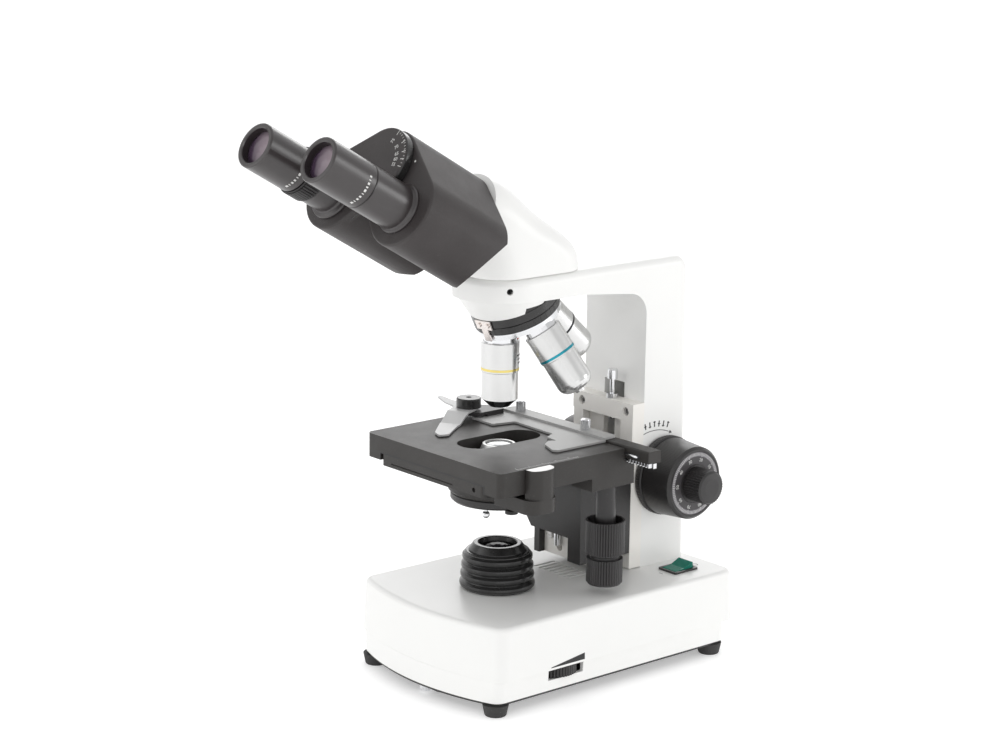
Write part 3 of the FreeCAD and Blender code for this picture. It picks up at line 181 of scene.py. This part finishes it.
driveAxis = (toFrame(0.0, 116.0, 116.0), (0, 1, 0), (0, 0, 1))
looks = {
    "whitePaint": {"color": (0.885, 0.885, 0.87), "rough": 0.42, "grainScale": 1500, "depth": 0.00005,
                   "bump": 0.35, "mottle": 0.02, "smudge": 0.12, "coat": 0.15},
    "railPaint": {"color": (0.90, 0.88, 0.84), "rough": 0.48, "grainScale": 2000, "depth": 0.00005,
                  "mottle": 0.04},
    "blackCrackle": {"color": (0.031, 0.0255, 0.0255), "spec": 0.4, "rough": 0.50, "grainScale": 1350, "depth": 0.00016,
                     "bump": 0.8, "grainDetail": 3.0, "mottle": 0.2, "dust": 0.12},
    "stageBlack": {"color": (0.020, 0.0175, 0.0155), "spec": 0.4, "rough": 0.46, "grainScale": 2600, "depth": 0.00005,
                   "bump": 0.5, "mottle": 0.2, "dust": 0.15},
    "blackPaint": {"color": (0.020, 0.0185, 0.0185), "rough": 0.42, "grainScale": 2600, "depth": 0.00005,
                   "bump": 0.5, "mottle": 0.2, "dust": 0.15},
    "blackGloss": {"color": (0.007, 0.0065, 0.0065), "rough": 0.26, "grainScale": 3000, "depth": 0.00001,
                   "bump": 0.3, "mottle": 0.2, "coat": 0.2},
    "eyepieceBlack": {"color": (0.023, 0.0175, 0.018), "spec": 0.75, "rough": 0.31, "grainScale": 2600, "depth": 0.00003,
                      "bump": 0.35, "mottle": 0.12, "smudge": 0.1, "coat": 0.12, "coatRough": 0.3},
    "blackPlastic": {"color": (0.018, 0.0165, 0.017), "rough": 0.36, "grainScale": 2400, "depth": 0.00004,
                     "bump": 0.4, "mottle": 0.15, "dust": 0.1},
    "knobBlack": {"color": (0.015, 0.0135, 0.0135), "rough": 0.3, "grainScale": 2400, "depth": 0.00012,
                  "bump": 0.55, "mottle": 0.15, "ribs": driveAxis + (150,)},
    "chrome": {"color": (0.78, 0.785, 0.80), "rough": 0.12, "metal": 1.0, "grainScale": 900,
               "depth": 0.00001, "bump": 0.15, "smudge": 0.10},
    "steel": {"color": (0.55, 0.545, 0.54), "rough": 0.3, "metal": 1.0, "streak": (60, 60, 2400),
              "depth": 0.00002, "smudge": 0.2},
    "springSteel": {"color": (0.86, 0.80, 0.77), "rough": 0.22, "metal": 0.85, "streak": (60, 60, 2400),
                    "depth": 0.00001, "smudge": 0.15},
    "satinMetal": {"color": (0.62, 0.62, 0.61), "rough": 0.34, "metal": 0.6, "streak": (120, 2600, 120),
                   "depth": 0.00002, "smudge": 0.15},
    "holderPlate": {"color": (0.40, 0.40, 0.395), "rough": 0.5, "metal": 0.25, "grainScale": 1700,
                    "depth": 0.00006, "mottle": 0.08, "bump": 0.6},
    "fingerPlate": {"color": (0.56, 0.56, 0.56), "rough": 0.46, "metal": 0.25, "grainScale": 1900,
                    "depth": 0.00005, "mottle": 0.08, "bump": 0.6},
    "brass": {"color": (0.70, 0.50, 0.20), "rough": 0.28, "metal": 1.0, "streak": (2000, 60, 60),
              "depth": 0.00002},
    "rubber": {"color": (0.014, 0.013, 0.013), "rough": 0.7, "grainScale": 1600, "depth": 0.00012,
               "bump": 0.6, "mottle": 0.3, "dust": 0.25},
    # painted glow: the green rocker gives off a faint light of its own colour though it holds no lamp
    "greenPlastic": {"color": (0.003, 0.15, 0.105), "rough": 0.18, "grainScale": 1200, "depth": 0.00001,
                     "mottle": 0.2, "spec": 0.12, "glow": 0.12},
    "darkGlass": {"color": (0.012, 0.011, 0.013), "rough": 0.06, "spec": 0.1, "ior": 1.4, "grainScale": 600, "depth": 0.000002, "bump": 0.1, "smudge": 0.03},
    "clearGlass": {"color": (0.30, 0.31, 0.32), "rough": 0.08, "coat": 0.8, "coatRough": 0.03,
                   "ior": 1.6, "grainScale": 600, "depth": 0.000002, "bump": 0.1, "smudge": 0.03},
    "switchGrey": {"color": (0.30, 0.30, 0.30), "rough": 0.5, "grainScale": 2600, "depth": 0.00003,
                   "mottle": 0.1},
    "markWhite": {"color": (0.72, 0.72, 0.70), "rough": 0.5, "grainScale": 3000, "depth": 0.00001},
    "markBlack": {"color": (0.015, 0.015, 0.016), "rough": 0.5, "grainScale": 3000, "depth": 0.00001},
    "bandYellow": {"color": (0.80, 0.66, 0.22), "rough": 0.35, "grainScale": 2500, "depth": 0.00001},
    "bandBlue": {"color": (0.03, 0.33, 0.42), "rough": 0.35, "grainScale": 2500, "depth": 0.00001},
    "bandDark": {"color": (0.03, 0.03, 0.035), "rough": 0.35, "grainScale": 2500, "depth": 0.00001},
    "bandRed": {"color": (0.55, 0.04, 0.03), "rough": 0.35, "grainScale": 2500, "depth": 0.00001},
}
mats = {name: surface(name, look) for name, look in looks.items()}
print("stage: plain materials made", len(mats))

# Nodes that keep their CAD shape, by finish.
plainNodes = {
    "whitePaint": ["arm_column", "head_body", "base_housing", "base_band"],
    "railPaint": ["guide_rails", "slider_plate"],
    "blackCrackle": ["right_housing", "left_housing"],
    "stageBlack": ["stage_base", "stage_top", "carriage_bar"],
    "blackPaint": ["bottom_plate", "slider_block", "condenser_body"],
    "eyepieceBlack": ["right_tube", "left_tube", "right_eyepiece", "left_eyepiece"],
    "knobBlack": ["coarse_knobs"],
    "blackPlastic": ["dimmer_wheel", "switch_bezel", "power_inlet", "tension_collar", "fine_knobs",
                     "y_knob", "x_knob", "diopter_ring", "finger_mount", "power_board"],
    "blackGloss": ["illuminator_housing", "illuminator_ring", "nosepiece_mount", "turret"],
    "chrome": ["door_thumb_screw", "stop_screw", "iris_ring", "x_rack", "objective_collars"],
    "steel": ["foot_screws", "socket_screws", "coarse_sleeve", "fine_shaft", "y_rack", "x_shaft",
              "hinge_pin"],
    "springSteel": ["click_spring"],
    "holderPlate": ["slide_holder"],
    "fingerPlate": ["slide_finger"],
    "satinMetal": ["objective_10x", "objective_40x", "objective_100x", "objective_4x"],
    "brass": ["slider_rack"],
    "rubber": ["rubber_feet"],
    "greenPlastic": ["switch_rocker"],
    "darkGlass": ["field_lens", "objective_lenses"],
    "clearGlass": ["condenser_lenses", "lamp"],
}
for name, members in plainNodes.items():
    for member in members:
        data = nodes[member].data
        data.materials.clear()
        data.materials.append(mats[name])


def repaint(node, material, test):
    data = nodes[node].data
    if isinstance(material, str):
        material = mats[material]
    data.materials.append(material)
    index = len(data.materials) - 1
    count = 0
    for face in data.polygons:
        place = face.center / mm - axisShift
        if test(place, face.normal):
            face.material_index = index
            count += 1
    return count


# Tools for the small pieces laid over the CAD nodes.
def addPiece(name, mesh, body, material):
    data = bpy.data.meshes.new(name)
    mesh.to_mesh(data)
    mesh.free()
    piece = bpy.data.objects.new(name, data)
    bpy.context.scene.collection.objects.link(piece)
    data.materials.append(mats[material] if isinstance(material, str) else material)
    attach(piece, body)
    return piece


def addBar(mesh, middle, along, across, length, width, thick):
    along = along.normalized()
    across = (across - along * across.dot(along)).normalized()
    up = along.cross(across).normalized()
    corners = []
    for k in (-0.5, 0.5):
        for i, j in ((-0.5, -0.5), (0.5, -0.5), (0.5, 0.5), (-0.5, 0.5)):
            corners.append(mesh.verts.new(middle + along * length * i + across * width * j + up * thick * k))
    order = ((3, 2, 1, 0), (4, 5, 6, 7), (0, 1, 5, 4), (1, 2, 6, 5), (2, 3, 7, 6), (3, 0, 4, 7))
    for ring in order:
        mesh.faces.new([corners[i] for i in ring])


def addText(mesh, words, middle, right, up, size, thick):
    curve = bpy.data.curves.new("scratch", "FONT")
    curve.body = words
    curve.size = size * mm
    curve.extrude = thick * mm
    curve.align_x = "CENTER"
    curve.align_y = "CENTER"
    curve.resolution_u = 4
    holder = bpy.data.objects.new("scratch", curve)
    bpy.context.scene.collection.objects.link(holder)
    letters = holder.evaluated_get(bpy.context.evaluated_depsgraph_get()).to_mesh()
    turn = Matrix((right, up, right.cross(up))).transposed().to_4x4()
    place = Matrix.Translation(middle) @ turn
    marks = [mesh.verts.new(place @ v.co) for v in letters.vertices]
    for face in letters.polygons:
        mesh.faces.new([marks[i] for i in face.vertices])
    holder.to_mesh_clear()
    bpy.data.objects.remove(holder)
    bpy.data.curves.remove(curve)


def soften(node, width, segments=2):
    piece = nodes[node]
    for face in piece.data.polygons:
        face.use_smooth = True
    for spare in ("custom_normal", "sharp_edge", "sharp_face"):
        if spare in piece.data.attributes:
            piece.data.attributes.remove(piece.data.attributes[spare])
    weld = piece.modifiers.new("weld", "WELD")
    weld.merge_threshold = 0.00002
    bevel = piece.modifiers.new("bevel", "BEVEL")
    bevel.width = width * mm
    bevel.segments = segments
    bevel.limit_method = "ANGLE"
    bevel.angle_limit = math.radians(32)
    bevel.harden_normals = True
    bevel.use_clamp_overlap = True


for node, width in {"stage_top": 0.5, "stage_base": 0.4, "slider_block": 0.5, "arm_column": 1.6,
                    "head_body": 0.4, "guide_rails": 0.5, "carriage_bar": 0.4, "base_band": 0.4,
                    "base_housing": 0.3, "right_housing": 0.8, "left_housing": 0.8}.items():
    soften(node, width)
print("stage: CAD edges softened")

# Binocular head: eye spacing scale, its dot, eyepiece print, lenses with a painted reflection, and painted shade on the
# disc's edge.
slope = math.radians(30)
headUp = Vector((0, math.sin(slope), math.cos(slope)))
headOut = Vector((0, -math.cos(slope), math.sin(slope)))
rightWay = Vector((1, 0, 0))


def headSpot(x, v, w):
    return (Vector((x, 0, 0)) + headUp * v + headOut * w + axisShift) * mm


spread = {"hinge": (0.0, 242.2), "face": 248.5, "innerR": 17.7, "outerR": 20.6, "numberR": 13.6,
          "marks": ((75, 72.7), (70, 45.0), (65, 24.5), (60, 10.0), (55, -4.0)), "dotAngle": 12.5,
          "dotR": 23.76, "dotFace": 242.3}
mesh = bmesh.new()
for value, angle in spread["marks"]:
    a = math.radians(angle)
    way = rightWay * math.cos(a) + headUp * math.sin(a)
    side = headUp * math.cos(a) - rightWay * math.sin(a)
    centre = headSpot(spread["hinge"][0], spread["hinge"][1], spread["face"])
    reach = (spread["innerR"] + spread["outerR"]) / 2
    addBar(mesh, centre + way * reach * mm, way, side, (spread["outerR"] - spread["innerR"]) * mm, 0.4 * mm, 0.12 * mm)
    addText(mesh, str(value), centre + way * spread["numberR"] * mm, way, side, 3.1, 0.06)
for i in range(13):
    a = math.radians(-4.0 + i * 76.7 / 12)
    way = rightWay * math.cos(a) + headUp * math.sin(a)
    side = headUp * math.cos(a) - rightWay * math.sin(a)
    centre = headSpot(spread["hinge"][0], spread["hinge"][1], spread["face"])
    addBar(mesh, centre + way * 19.9 * mm, way, side, 1.2 * mm, 0.22 * mm, 0.12 * mm)
addPiece("eye_spacing_scale", mesh, "left_side", "markWhite")
mesh = bmesh.new()
a = math.radians(spread["dotAngle"])
centre = headSpot(0, 242.2, spread["dotFace"])
way = rightWay * math.cos(a) + headUp * math.sin(a)
bmesh.ops.create_cone(mesh, cap_ends=True, radius1=0.75 * mm, radius2=0.7 * mm, depth=0.12 * mm, segments=20,
                      matrix=Matrix.Translation(centre + way * spread["dotR"] * mm)
                      @ Matrix((rightWay, headUp, headOut)).transposed().to_4x4())
addPiece("eye_spacing_dot", mesh, "right_side", "markWhite")


def eyeRing(name, body, x, radius, w, angles, sizes):
    ring = bmesh.new()
    for angle, length in zip(angles, sizes):
        a = math.radians(angle)
        way = rightWay * math.cos(a) + headUp * math.sin(a)
        side = headUp * math.cos(a) - rightWay * math.sin(a)
        spot = headSpot(x, 217.6, w) + way * (radius + 0.03) * mm
        addBar(ring, spot, side, headOut, length * mm, 1.5 * mm, 0.12 * mm)
    addPiece(name, ring, body, "markWhite")


eyeMarks = {"sizes": (1.6, 0.6, 1.1, 1.1, 0.5, 1.6, 0.9, 1.3, 0.5, 1.1), "step": 9.0, "start": -62.0}
angles = [eyeMarks["start"] + eyeMarks["step"] * i for i in range(10)]
eyeRing("right_eye_marks", "right_eye", 27.7, 14.1, 280.5, angles, eyeMarks["sizes"])
eyeRing("left_eye_marks", "left_eye", -27.7, 14.1, 286.0, angles, eyeMarks["sizes"])


def paintGlass(node, x, radius, start):
    centre = headSpot(x, 217.6, start)

    # painted reflection: over the dark violet coating, the lens colour brightens to a pale grey towards the right,
    # standing in for a reflection on the glass
    def coating(maker):
        share = maker.along(centre, (0.92, 0.0, 0.39)) * (1 / (radius * mm)) * 0.75 + 0.32
        return [(share.clamped(), (0.33, 0.27, 0.30))]

    def inside(place, normal):
        reach = math.hypot(place.x - x, place.dot(headUp) - 217.6)
        return reach < radius and place.dot(headOut) > start and normal.dot(headOut) > 0.3

    look = dict(looks["darkGlass"], color=(0.045, 0.026, 0.05), spec=0.5)
    return repaint(node, surface("coating_" + node, look, coating), inside)


print("lens faces", paintGlass("right_eyepiece", 27.7, 10.88, 300.5),
      paintGlass("left_eyepiece", -27.7, 10.88, 304.7))
# painted shade: the side wall of the left housing's disc gets the smooth gloss black finish, made darker to stand in
# for the shade along its edge
discGlossShade = {"hinge": (0.0, 242.2), "near": 20.9, "far": 25.5, "low": 242.4, "high": 248.3}


def discEdge(place, normal):
    reach = math.hypot(place.x - discGlossShade["hinge"][0], place.dot(headUp) - discGlossShade["hinge"][1])
    return discGlossShade["near"] < reach < discGlossShade["far"] and discGlossShade["low"] < place.dot(headOut) < discGlossShade["high"]


print("disc edge faces", repaint("left_housing", "blackGloss", discEdge))
print("stage: head details")

# Focus knobs: dial print, tension arc and arrow.
drive = {"y": 116.0, "z": 116.0, "face": 57.15, "tickInner": 18.2, "tickOuter": 19.9, "numberR": 15.4,
         "count": 100}
mesh = bmesh.new()
hub = toFrame(drive["face"], drive["y"], drive["z"])
for i in range(drive["count"]):
    a = 2 * math.pi * i / drive["count"]
    way = Vector((0, math.cos(a), math.sin(a)))
    side = Vector((0, -math.sin(a), math.cos(a)))
    inner = drive["tickInner"] - (0.9 if i % 10 == 0 else 0.4 if i % 5 == 0 else 0.0)
    reach = (inner + drive["tickOuter"]) / 2
    addBar(mesh, hub + way * reach * mm, way, side, (drive["tickOuter"] - inner) * mm, 0.28 * mm, 0.14 * mm)
for i in range(10):
    a = 2 * math.pi * i / 10
    way = Vector((0, math.cos(a), math.sin(a)))
    side = Vector((0, -math.sin(a), math.cos(a)))
    addText(mesh, str(10 * i), hub + way * drive["numberR"] * mm, side * -1, way, 3.0, 0.07)
addPiece("focus_dial_marks", mesh, "coarse_drive", "markWhite")


dial = {"inner": 12.4, "split": 17.7, "outer": 20.4, "ring": (0.20, 0.19, 0.205), "plate": (0.045, 0.041, 0.044)}


def dialFace(place, normal):
    radius = math.hypot(place.y - 116.0, place.z - 116.0)
    return 56.9 < place.x < 57.25 and dial["inner"] < radius < dial["outer"]


def dialPaint(maker):
    return [(maker.away(*driveAxis) > dial["split"] * mm, dial["ring"])]


dialLook = {"color": dial["plate"], "rough": 0.42, "grainScale": 2600, "depth": 0.00002, "mottle": 0.1}
print("dial faces", repaint("coarse_knobs", surface("dialPlate", dialLook, dialPaint), dialFace))
tension = {"centre": (107.0, 112.3), "radius": 34.0, "start": 111.4, "end": 67.7, "steps": 22, "x": 27.93,
           "marks": 7, "markStart": 108.0, "markEnd": 71.7, "markReach": 4.2}
mesh = bmesh.new()
centre = toFrame(tension["x"], *tension["centre"])
for i in range(tension["steps"]):
    a = math.radians(tension["start"] + (tension["end"] - tension["start"]) * (i + 0.5) / tension["steps"])
    way = Vector((0, math.cos(a), math.sin(a)))
    side = Vector((0, -math.sin(a), math.cos(a)))
    addBar(mesh, centre + way * tension["radius"] * mm, side, way, 1.3 * mm, 0.42 * mm, 0.12 * mm)
for i in range(tension["marks"]):
    share = i / (tension["marks"] - 1)
    a = math.radians(tension["markStart"] + (tension["markEnd"] - tension["markStart"]) * share)
    way = Vector((0, math.cos(a), math.sin(a)))
    side = Vector((0, -math.sin(a), math.cos(a)))
    spot = centre + way * (tension["radius"] + tension["markReach"]) * mm
    addBar(mesh, spot, way, side, 3.9 * mm, 0.9 * mm, 0.12 * mm)
    addBar(mesh, spot + way * (1.3 - 1.3 * (i % 3)) * mm, side, way, 2.1 * mm, 0.6 * mm, 0.13 * mm)
a = math.radians(tension["end"] - 1.0)
way = Vector((0, math.cos(a), math.sin(a)))
side = Vector((0, -math.sin(a), math.cos(a)))
tip = centre + way * tension["radius"] * mm
arrow = (side * -2.6 * mm, way * 1.2 * mm, way * -1.2 * mm)
mesh.faces.new([mesh.verts.new(tip + p + rightWay * 0.06 * mm) for p in arrow])
addPiece("tension_arc", mesh, "stand", "markBlack")
print("stage: focus details")

# Stage: edge scale, painted shade along the plate seam, index cap, bright screws and painted shade for the bar's slot.
stageScale = {"x": 60.4, "z": 151.83, "start": -38.0, "end": 10.0, "step": 1.5}
mesh = bmesh.new()
count = int((stageScale["end"] - stageScale["start"]) / stageScale["step"])
for i in range(count + 1):
    long = 3.4 if i % 7 == 0 else 1.6
    spot = toFrame(stageScale["x"] + 2.2 - long / 2, stageScale["start"] + i * stageScale["step"], stageScale["z"])
    addBar(mesh, spot, rightWay, Vector((0, 1, 0)), long * mm, 0.22 * mm, 0.1 * mm)
addPiece("stage_scale", mesh, "stage", "markWhite")
# painted shade: thin black strips along the seam between the two stage plates stand in for the shade in the gap between
# them
seamShade = {"left": -50.65, "right": 49.75, "y": -54.0, "z": 141.35, "low": 136.7, "width": 0.75}
mesh = bmesh.new()
addBar(mesh, toFrame((seamShade["left"] + seamShade["right"]) / 2, seamShade["y"], seamShade["z"]), rightWay, Vector((0, 0, 1)),
       (seamShade["right"] - seamShade["left"] + seamShade["width"]) * mm, seamShade["width"] * mm, 0.1 * mm)
for x in (seamShade["left"], seamShade["right"]):
    addBar(mesh, toFrame(x, seamShade["y"], (seamShade["z"] + seamShade["low"]) / 2), Vector((0, 0, 1)), rightWay,
           (seamShade["z"] - seamShade["low"]) * mm, seamShade["width"] * mm, 0.12 * mm)
addPiece("stage_seam_shade", mesh, "stage", "markBlack")
cap = {"x": 64.9, "reach": 8.0, "low": -34.2, "high": -15.3, "z": 151.52}
mesh = bmesh.new()
ring = []
for i in range(25):
    a = -math.pi / 2 + math.pi * i / 24
    middle = (cap["low"] + cap["high"]) / 2
    ring.append(toFrame(cap["x"] + cap["reach"] * math.cos(a) ** 0.6 if math.cos(a) > 0 else cap["x"],
                        middle + (cap["high"] - cap["low"]) / 2 * math.sin(a), cap["z"]))
lower = [mesh.verts.new(p) for p in ring]
upper = [mesh.verts.new(p + Vector((0, 0, 0.2 * mm))) for p in ring]
mesh.faces.new(upper)
mesh.faces.new(list(reversed(lower)))
for i in range(len(ring)):
    j = (i + 1) % len(ring)
    mesh.faces.new([lower[i], lower[j], upper[j], upper[i]])
bmesh.ops.recalc_face_normals(mesh, faces=mesh.faces)
addPiece("index_cap", mesh, "stage_bracket", "satinMetal")


def near(x, y, radius, low, high):
    def test(place, normal):
        return math.hypot(place.x - x, place.y - y) < radius and low < place.z < high
    return test


repaint("slide_holder", "chrome", lambda p, n: near(24.0, 50.8, 3.5, 154.93, 165)(p, n)
        or near(-38.0, 50.8, 3.5, 154.93, 165)(p, n))
repaint("slider_plate", "chrome", near(-8.0, 57.6, 2.6, 69, 82))
repaint("slider_plate", "steel", near(-17.0, 59.2, 2.9, 72, 78))
repaint("finger_mount", "blackGloss", near(-56.0, 22.0, 8.2, 158, 166))
repaint("condenser_body", "satinMetal", near(0.0, 0.0, 19.0, 121, 150))
# painted shade: the clamp screw's faces are painted black to stand in for the shade inside its socket hole
repaint("socket_screws", "markBlack", near(20.4, -11.8, 6.0, 248, 253))
# painted shade: a flat black bar on the carriage bar's face stands in for the shade inside its slot, with the pin laid
# across it
barSlotShade = {"x0": 62.0, "x1": 76.0, "y": 47.06, "z": 148.4}
mesh = bmesh.new()
addBar(mesh, toFrame((barSlotShade["x0"] + barSlotShade["x1"]) / 2, barSlotShade["y"], barSlotShade["z"]), rightWay, Vector((0, 0, 1)),
       (barSlotShade["x1"] - barSlotShade["x0"] + 2.4) * mm, 2.6 * mm, 0.12 * mm)
addPiece("bar_slot_shade", mesh, "carriage", "markBlack")
mesh = bmesh.new()
pinTurn = Matrix.Rotation(math.pi / 2, 4, "Y")
bmesh.ops.create_cone(mesh, cap_ends=True, radius1=0.75 * mm, radius2=0.75 * mm, depth=13.0 * mm, segments=24,
                      matrix=Matrix.Translation(toFrame(69.0, 46.9, 148.4)) @ pinTurn)
bmesh.ops.bevel(mesh, geom=[e for e in mesh.edges if e.calc_face_angle(0) > 1.0], offset=0.3 * mm, segments=2,
                affect="EDGES")
for face in mesh.faces:
    face.smooth = True
addPiece("bar_slot_pin", mesh, "carriage", "chrome")
print("stage: stage details")

# Base: brightness wedge and the marks beside the switch.
wedge = {"thin": (-15.0, 24.9), "thick": (12.5, 28.6), "foot": 24.4, "steps": 12}


def shellSide(z):
    return 69.4 - (z - 23.0) * 1.2 / 33.4


mesh = bmesh.new()
rows = []
for i in range(wedge["steps"] + 1):
    share = i / wedge["steps"]
    y = wedge["thin"][0] + (wedge["thick"][0] - wedge["thin"][0]) * share
    topZ = wedge["thin"][1] + (wedge["thick"][1] - wedge["thin"][1]) * share
    rows.append([mesh.verts.new(toFrame(shellSide(z) + 0.06, y, z)) for z in (wedge["foot"], topZ)])
for first, second in zip(rows, rows[1:]):
    mesh.faces.new([first[0], second[0], second[1], first[1]])
addPiece("dimmer_wedge", mesh, "stand", "markBlack")
mesh = bmesh.new()
addBar(mesh, toFrame(45.8, 99.2, 56.44), rightWay, Vector((0, 1, 0)), 3.4 * mm, 0.55 * mm, 0.1 * mm)
for i in range(20):
    a = 2 * math.pi * i / 20
    way = Vector((math.cos(a), math.sin(a), 0))
    addBar(mesh, toFrame(45.8, 129.8, 56.44) + way * 1.7 * mm, Vector((-way.y, way.x, 0)), way, 0.58 * mm, 0.5 * mm, 0.1 * mm)
addPiece("switch_marks", mesh, "stand", "switchGrey")
print("stage: base details")

# Objectives: turned metal, colour bands, dark noses and engraving.
turn24 = math.radians(24)
turretAxis = Vector((0, -math.sin(turn24), math.cos(turn24)))
apex = Vector((0, 0, 261.0))
objectives = {
    "objective_10x": {"station": 0, "band": "bandYellow", "bandAt": 16.0, "noseFrom": 36.05, "dark": True},
    "objective_40x": {"station": 1, "band": "bandBlue", "bandAt": 16.2, "noseFrom": 43.4, "dark": False},
    "objective_100x": {"station": 2, "band": "bandDark", "bandAt": 16.2, "noseFrom": 43.4, "dark": False},
    "objective_4x": {"station": 3, "band": "bandRed", "bandAt": 8.6, "noseFrom": 22.05, "dark": True},
}


def depthBelow(place):
    return (place - apex).dot(turretAxis) * -1


repaint("turret", "chrome", lambda place, normal: depthBelow(place) > 32.95)
for node, spec in objectives.items():
    swing = Matrix.Rotation(math.radians(90 * spec["station"]), 3, turretAxis)
    shoulder = apex + swing @ Vector((0, 0, 214.3 - 261.0))
    outward = swing @ Vector((0, 0, -1))
    look = dict(looks["satinMetal"])
    del look["streak"]
    look.update({"turned": ((shoulder + axisShift) * mm, outward), "color": (0.76, 0.76, 0.755), "metal": 0.85,
                 "rough": 0.24})
    bandColor = looks[spec["band"]]["color"]

    def bands(maker, spec=spec, shoulder=shoulder, outward=outward, bandColor=bandColor):
        depth = maker.along((shoulder + axisShift) * mm, outward) / mm
        marks = [(depth.between(spec["bandAt"], spec["bandAt"] + 1.6), bandColor)]
        if spec["dark"]:
            marks.append((depth > spec["noseFrom"], (0.03, 0.03, 0.032)))
        return marks

    data = nodes[node].data
    data.materials.clear()
    data.materials.append(surface("finish_" + node, look, bands))
    mesh = bmesh.new()
    for line, depthAt in ((0, 8.0), (1, 10.4), (2, 12.8)):
        for i in range(5 - line):
            a = math.radians(22 + i * 9 + line * 3)
            flat = Vector((math.cos(a), math.sin(a), 0))
            flatSide = Vector((-math.sin(a), math.cos(a), 0))
            spot = apex + swing @ (Vector((0, 0, 214.3 - 261.0 - depthAt * (0.8 if spec["station"] == 3 else 1.0)))
                                   + flat * 12.03)
            addBar(mesh, (spot + axisShift) * mm, swing @ flatSide, swing @ Vector((0, 0, 1)), 1.2 * mm, 0.9 * mm,
                   0.08 * mm)
    addPiece("engraving_" + node, mesh, "nosepiece", "markBlack")
print("stage: objectives finished")

# Studio: a pale sweep, soft lamps and the camera.
studio = {"floorHalf": 6.0, "wallBack": 3.2, "wallHigh": 4.0, "bend": 1.0, "steps": 16,
          "paper": {"color": (0.86, 0.86, 0.86), "rough": 0.8, "grainScale": 300, "depth": 0.0001,
                    "mottle": 0.005, "bump": 0.1, "glow": 0.42}}


def makeStudio(sizes):
    mesh = bmesh.new()
    azimuth = math.radians(49.38)
    away = Vector((-math.sin(azimuth), math.cos(azimuth), 0))
    side = Vector((math.cos(azimuth), math.sin(azimuth), 0))
    profile = [(-sizes["floorHalf"], 0.0)]
    for i in range(sizes["steps"] + 1):
        angle = math.pi / 2 * i / sizes["steps"]
        profile.append((sizes["wallBack"] + sizes["bend"] * math.sin(angle),
                        sizes["bend"] * (1 - math.cos(angle))))
    profile.append((sizes["wallBack"] + sizes["bend"], sizes["wallHigh"]))
    rows = []
    for depth, height in profile:
        middle = away * depth + Vector((0, 0, height))
        rows.append([mesh.verts.new(middle + side * s * sizes["floorHalf"]) for s in (-1, 1)])
    for first, second in zip(rows, rows[1:]):
        face = mesh.faces.new([first[0], first[1], second[1], second[0]])
        face.smooth = True
    data = bpy.data.meshes.new("studioFloor")
    mesh.to_mesh(data)
    mesh.free()
    floor = bpy.data.objects.new("studioFloor", data)
    bpy.context.scene.collection.objects.link(floor)
    data.materials.append(surface("studioPaper", sizes["paper"]))
    return floor


makeStudio(studio)

lamps = {
    "key": {"place": (-0.7, -1.4, 0.75), "size": 1.3, "power": 4.6},
    "fill": {"place": (1.6, -0.6, 0.6), "size": 1.4, "power": 2.2},
    "front": {"place": (0.95, -1.15, 1.35), "size": 0.45, "power": 2.5},
    "rim": {"place": (1.15, 1.3, 0.45), "size": 0.6, "power": 4.0},
    "top": {"place": (0.1, 0.4, 1.9), "size": 1.2, "power": 1.0},
    "back": {"place": (-1.2, 1.2, 1.0), "size": 0.9, "power": 5.0},
}
aim = Vector((0, 0, 0.18))
for name, spec in lamps.items():
    data = bpy.data.lights.new(name, "AREA")
    data.energy = spec["power"]
    data.size = spec["size"]
    lamp = bpy.data.objects.new(name, data)
    lamp.location = spec["place"]
    lamp.visible_camera = False
    lamp.rotation_euler = (aim - lamp.location).to_track_quat("-Z", "Y").to_euler()
    bpy.context.scene.collection.objects.link(lamp)
world = bpy.data.worlds.new("studio")
world.use_nodes = True
world.node_tree.nodes["Background"].inputs["Color"].default_value = (1.0, 1.0, 1.0, 1.0)
world.node_tree.nodes["Background"].inputs["Strength"].default_value = 0.70
bpy.context.scene.world = world
bpy.context.scene.view_settings.view_transform = "Standard"
bpy.context.scene.view_settings.exposure = 0.0

shot = {"azimuth": 49.38, "elevation": 13.1, "roll": 0.77, "distance": 1521.6, "focal": 88.70,
        "target": (0.02, 0.1, 192.67)}


def makeCamera(spec):
    a = math.radians(spec["azimuth"])
    e = math.radians(spec["elevation"])
    r = math.radians(spec["roll"])
    back = Vector((math.sin(a) * math.cos(e), -math.cos(a) * math.cos(e), math.sin(e)))
    level = Vector((math.cos(a), math.sin(a), 0))
    up = back.cross(level)
    right = level * math.cos(r) + up * math.sin(r)
    high = up * math.cos(r) - level * math.sin(r)
    data = bpy.data.cameras.new("viewCamera")
    data.lens = spec["focal"]
    data.sensor_width = 36.0
    data.clip_end = 50.0
    camera = bpy.data.objects.new("viewCamera", data)
    turn = Matrix((right, high, back)).transposed().to_4x4()
    camera.matrix_world = Matrix.Translation(toFrame(*spec["target"]) + back * spec["distance"] * mm) @ turn
    bpy.context.scene.collection.objects.link(camera)
    bpy.context.scene.camera = camera


makeCamera(shot)
print("stage: studio ready")
